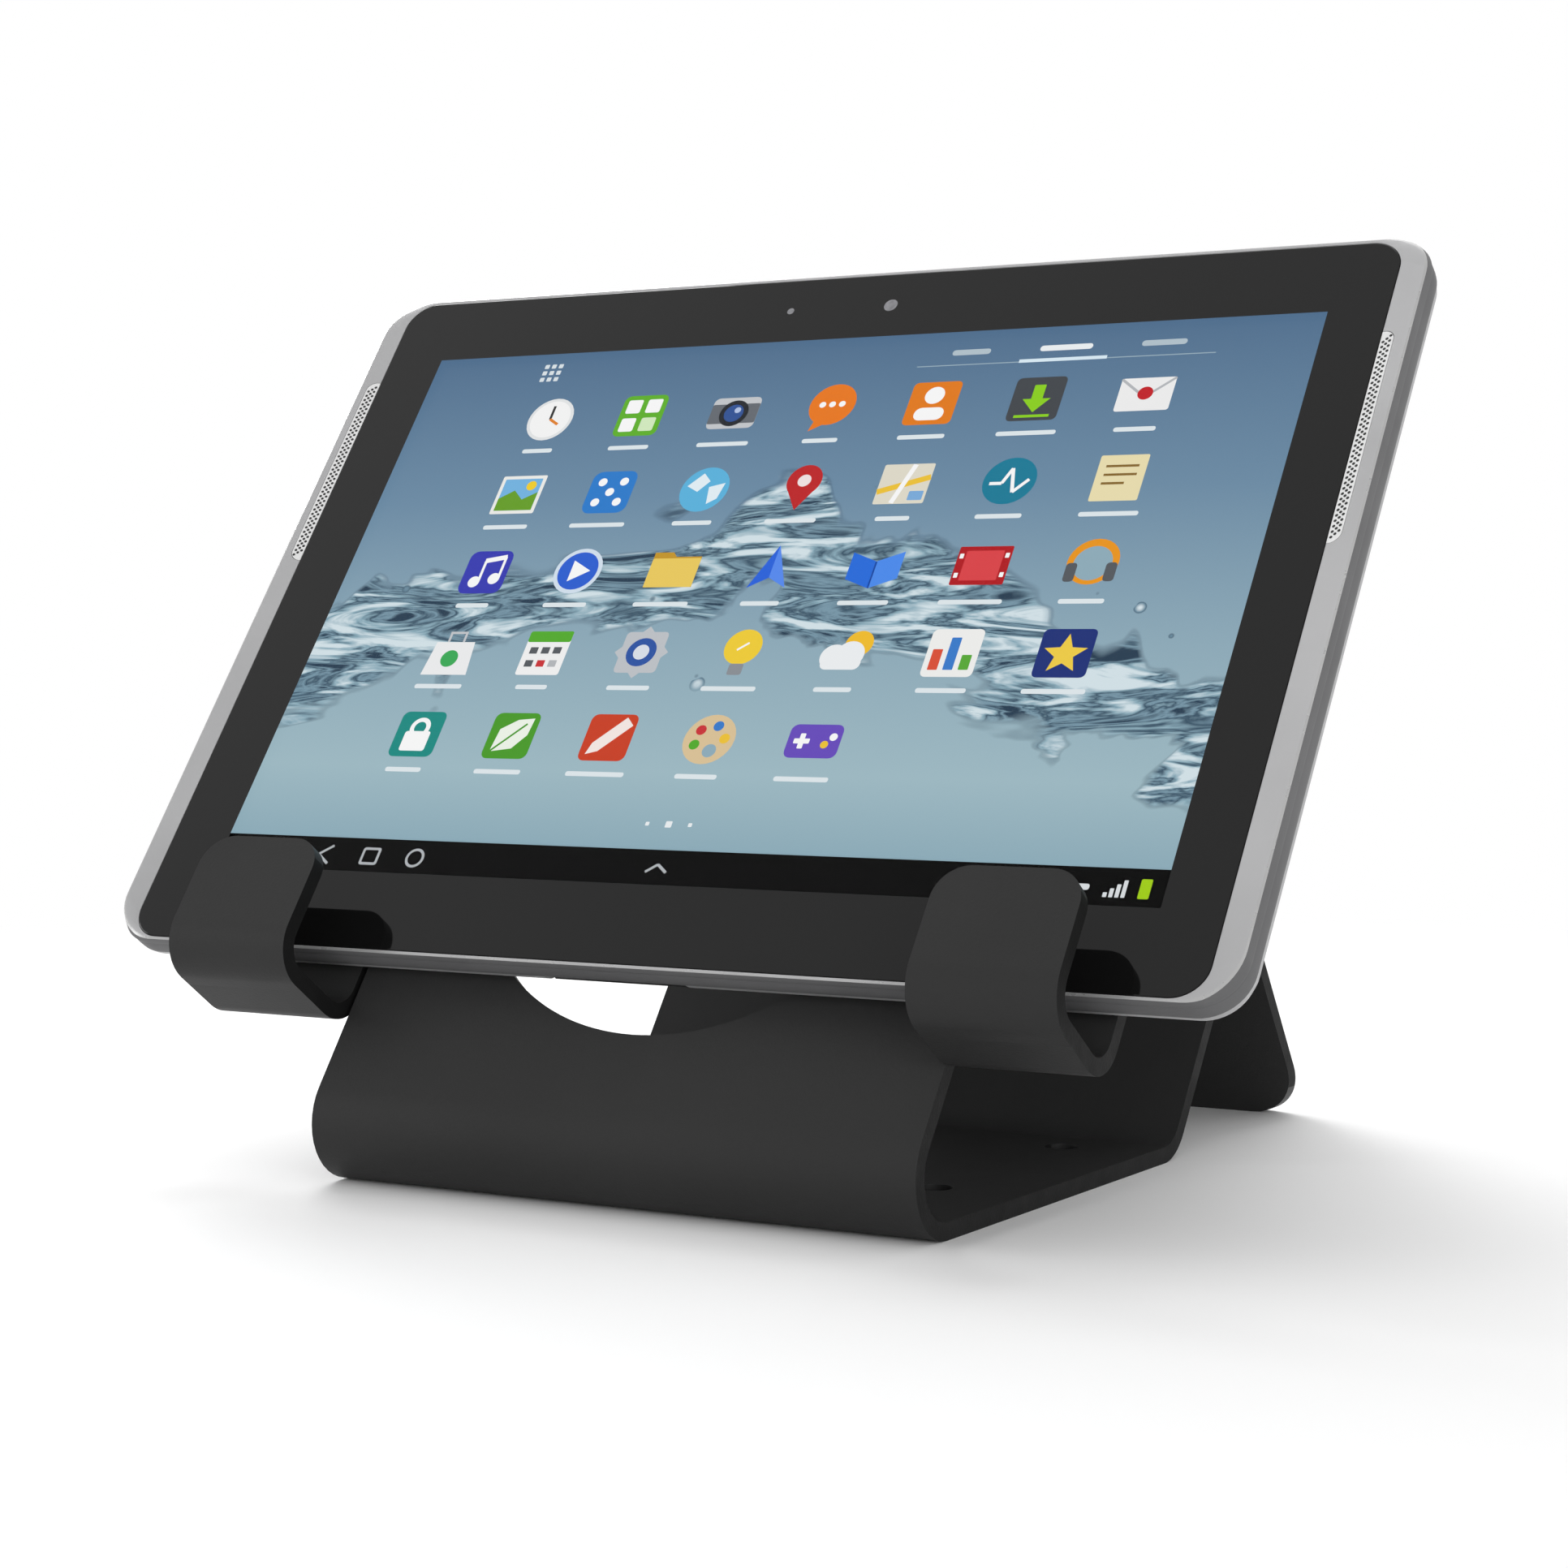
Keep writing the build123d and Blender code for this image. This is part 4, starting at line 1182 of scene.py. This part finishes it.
# The floor keeps the shadow inside the first radius and is plain white beyond the second.
FLOOR_FADE = (0.24, 0.62)
# The room's light on its left and on its right, between two places across it.
ROOM_SPAN = (-0.1, 0.8)
ROOM_LIGHT = (0.8, 0.7)
WHITE = (1, 1, 1, 1)

# Each lamp is its place, what it points at, its size and its power.
LAMPS = {
    "key_lamp": ((-1.9, -0.7, 0.35), (0, 0, 0.05), 0.9, 9.0),
    "top_lamp": ((-0.2, 0.9, 1.7), (0, 0, 0.05), 1.2, 7.0),
    "side_lamp": ((-0.8, 0.6, 0.7), (0, -0.02, 0.0), 0.6, 8.0),
    "front_lamp": ((1.1, -0.9, 0.2), (0.03, 0, 0.03), 0.8, 9.0),
}

# The camera that the photograph's edges and the screen's four corners give.
CAMERA_PLACE = (0.3323, -0.5721, 0.1095)
CAMERA_DOWN = 0.045
CAMERA_TURN = 0.528
CAMERA_LENS = 72.68
CAMERA_SENSOR = 36.0


def seen_rays(nodes, links):
    """One for rays that show the backdrop, straight or in gloss and glass, else zero."""
    rays = nodes.new("ShaderNodeLightPath").outputs
    gloss = math_node(nodes, links, "ADD", rays["Is Camera Ray"], rays["Is Glossy Ray"], clamp=True)
    return math_node(nodes, links, "ADD", gloss, rays["Is Transmission Ray"], clamp=True)


def build_floor():
    """A white floor that takes the object's shadow."""
    half = FLOOR_HALF
    mesh = bpy.data.meshes.new("floor")
    corners = [(-half, -half, 0), (half, -half, 0), (half, half, 0), (-half, half, 0)]
    mesh.from_pydata(corners, [], [(0, 1, 2, 3)])
    floor = link("floor", mesh)
    material, nodes, links, shader = new_material("floor_white")
    set_sockets(shader, {
        "Base Color": (0.9, 0.9, 0.9, 1.0), "Roughness": 0.7, "Specular IOR Level": 0.1,
    })
    glow = nodes.new("ShaderNodeEmission")
    glow.inputs["Color"].default_value = WHITE
    coord = nodes.new("ShaderNodeTexCoord")
    reach = nodes.new("ShaderNodeVectorMath")
    reach.operation = "LENGTH"
    links.new(coord.outputs["Object"], reach.inputs[0])
    fade = map_range(nodes, links, reach.outputs["Value"], FLOOR_FADE, (0.0, 1.0), "SMOOTHSTEP")
    both = nodes.new("ShaderNodeMixShader")
    links.new(math_node(nodes, links, "MULTIPLY", seen_rays(nodes, links), fade), both.inputs["Fac"])
    links.new(shader.outputs[0], both.inputs[1])
    links.new(glow.outputs[0], both.inputs[2])
    links.new(both.outputs[0], nodes["Material Output"].inputs["Surface"])
    mesh.materials.append(material)


def build_room():
    """A white backdrop round a room whose light is a little weaker on the right."""
    world = bpy.data.worlds.new("studio")
    bpy.context.scene.world = world
    world.use_nodes = True
    nodes = world.node_tree.nodes
    links = world.node_tree.links
    nodes.clear()
    back = nodes.new("ShaderNodeBackground")
    set_sockets(back, {"Color": WHITE, "Strength": 1.0})
    light = nodes.new("ShaderNodeBackground")
    light.inputs["Color"].default_value = WHITE
    coord = nodes.new("ShaderNodeTexCoord")
    split = nodes.new("ShaderNodeSeparateXYZ")
    links.new(coord.outputs["Generated"], split.inputs["Vector"])
    level = map_range(nodes, links, split.outputs["X"], ROOM_SPAN, ROOM_LIGHT, "SMOOTHSTEP")
    links.new(level, light.inputs["Strength"])
    mix = nodes.new("ShaderNodeMixShader")
    out = nodes.new("ShaderNodeOutputWorld")
    links.new(seen_rays(nodes, links), mix.inputs["Fac"])
    links.new(light.outputs[0], mix.inputs[1])
    links.new(back.outputs[0], mix.inputs[2])
    links.new(mix.outputs[0], out.inputs["Surface"])


def build_lamp(name, place, aim, size, power):
    data = bpy.data.lights.new(name, "AREA")
    data.size = size
    data.energy = power
    lamp = link(name, data)
    lamp.location = place
    lamp.rotation_euler = (Vector(aim) - Vector(place)).to_track_quat("-Z", "Y").to_euler()


def build_camera():
    data = bpy.data.cameras.new("camera")
    data.lens = CAMERA_LENS
    data.sensor_width = CAMERA_SENSOR
    camera = link("camera", data)
    camera.location = CAMERA_PLACE
    camera.rotation_euler = (math.radians(90.0) - CAMERA_DOWN, 0.0, CAMERA_TURN)
    bpy.context.scene.camera = camera


build_floor()
build_room()
for name, numbers in LAMPS.items():
    build_lamp(name, *numbers)
build_camera()
bpy.context.scene.view_settings.view_transform = "Standard"
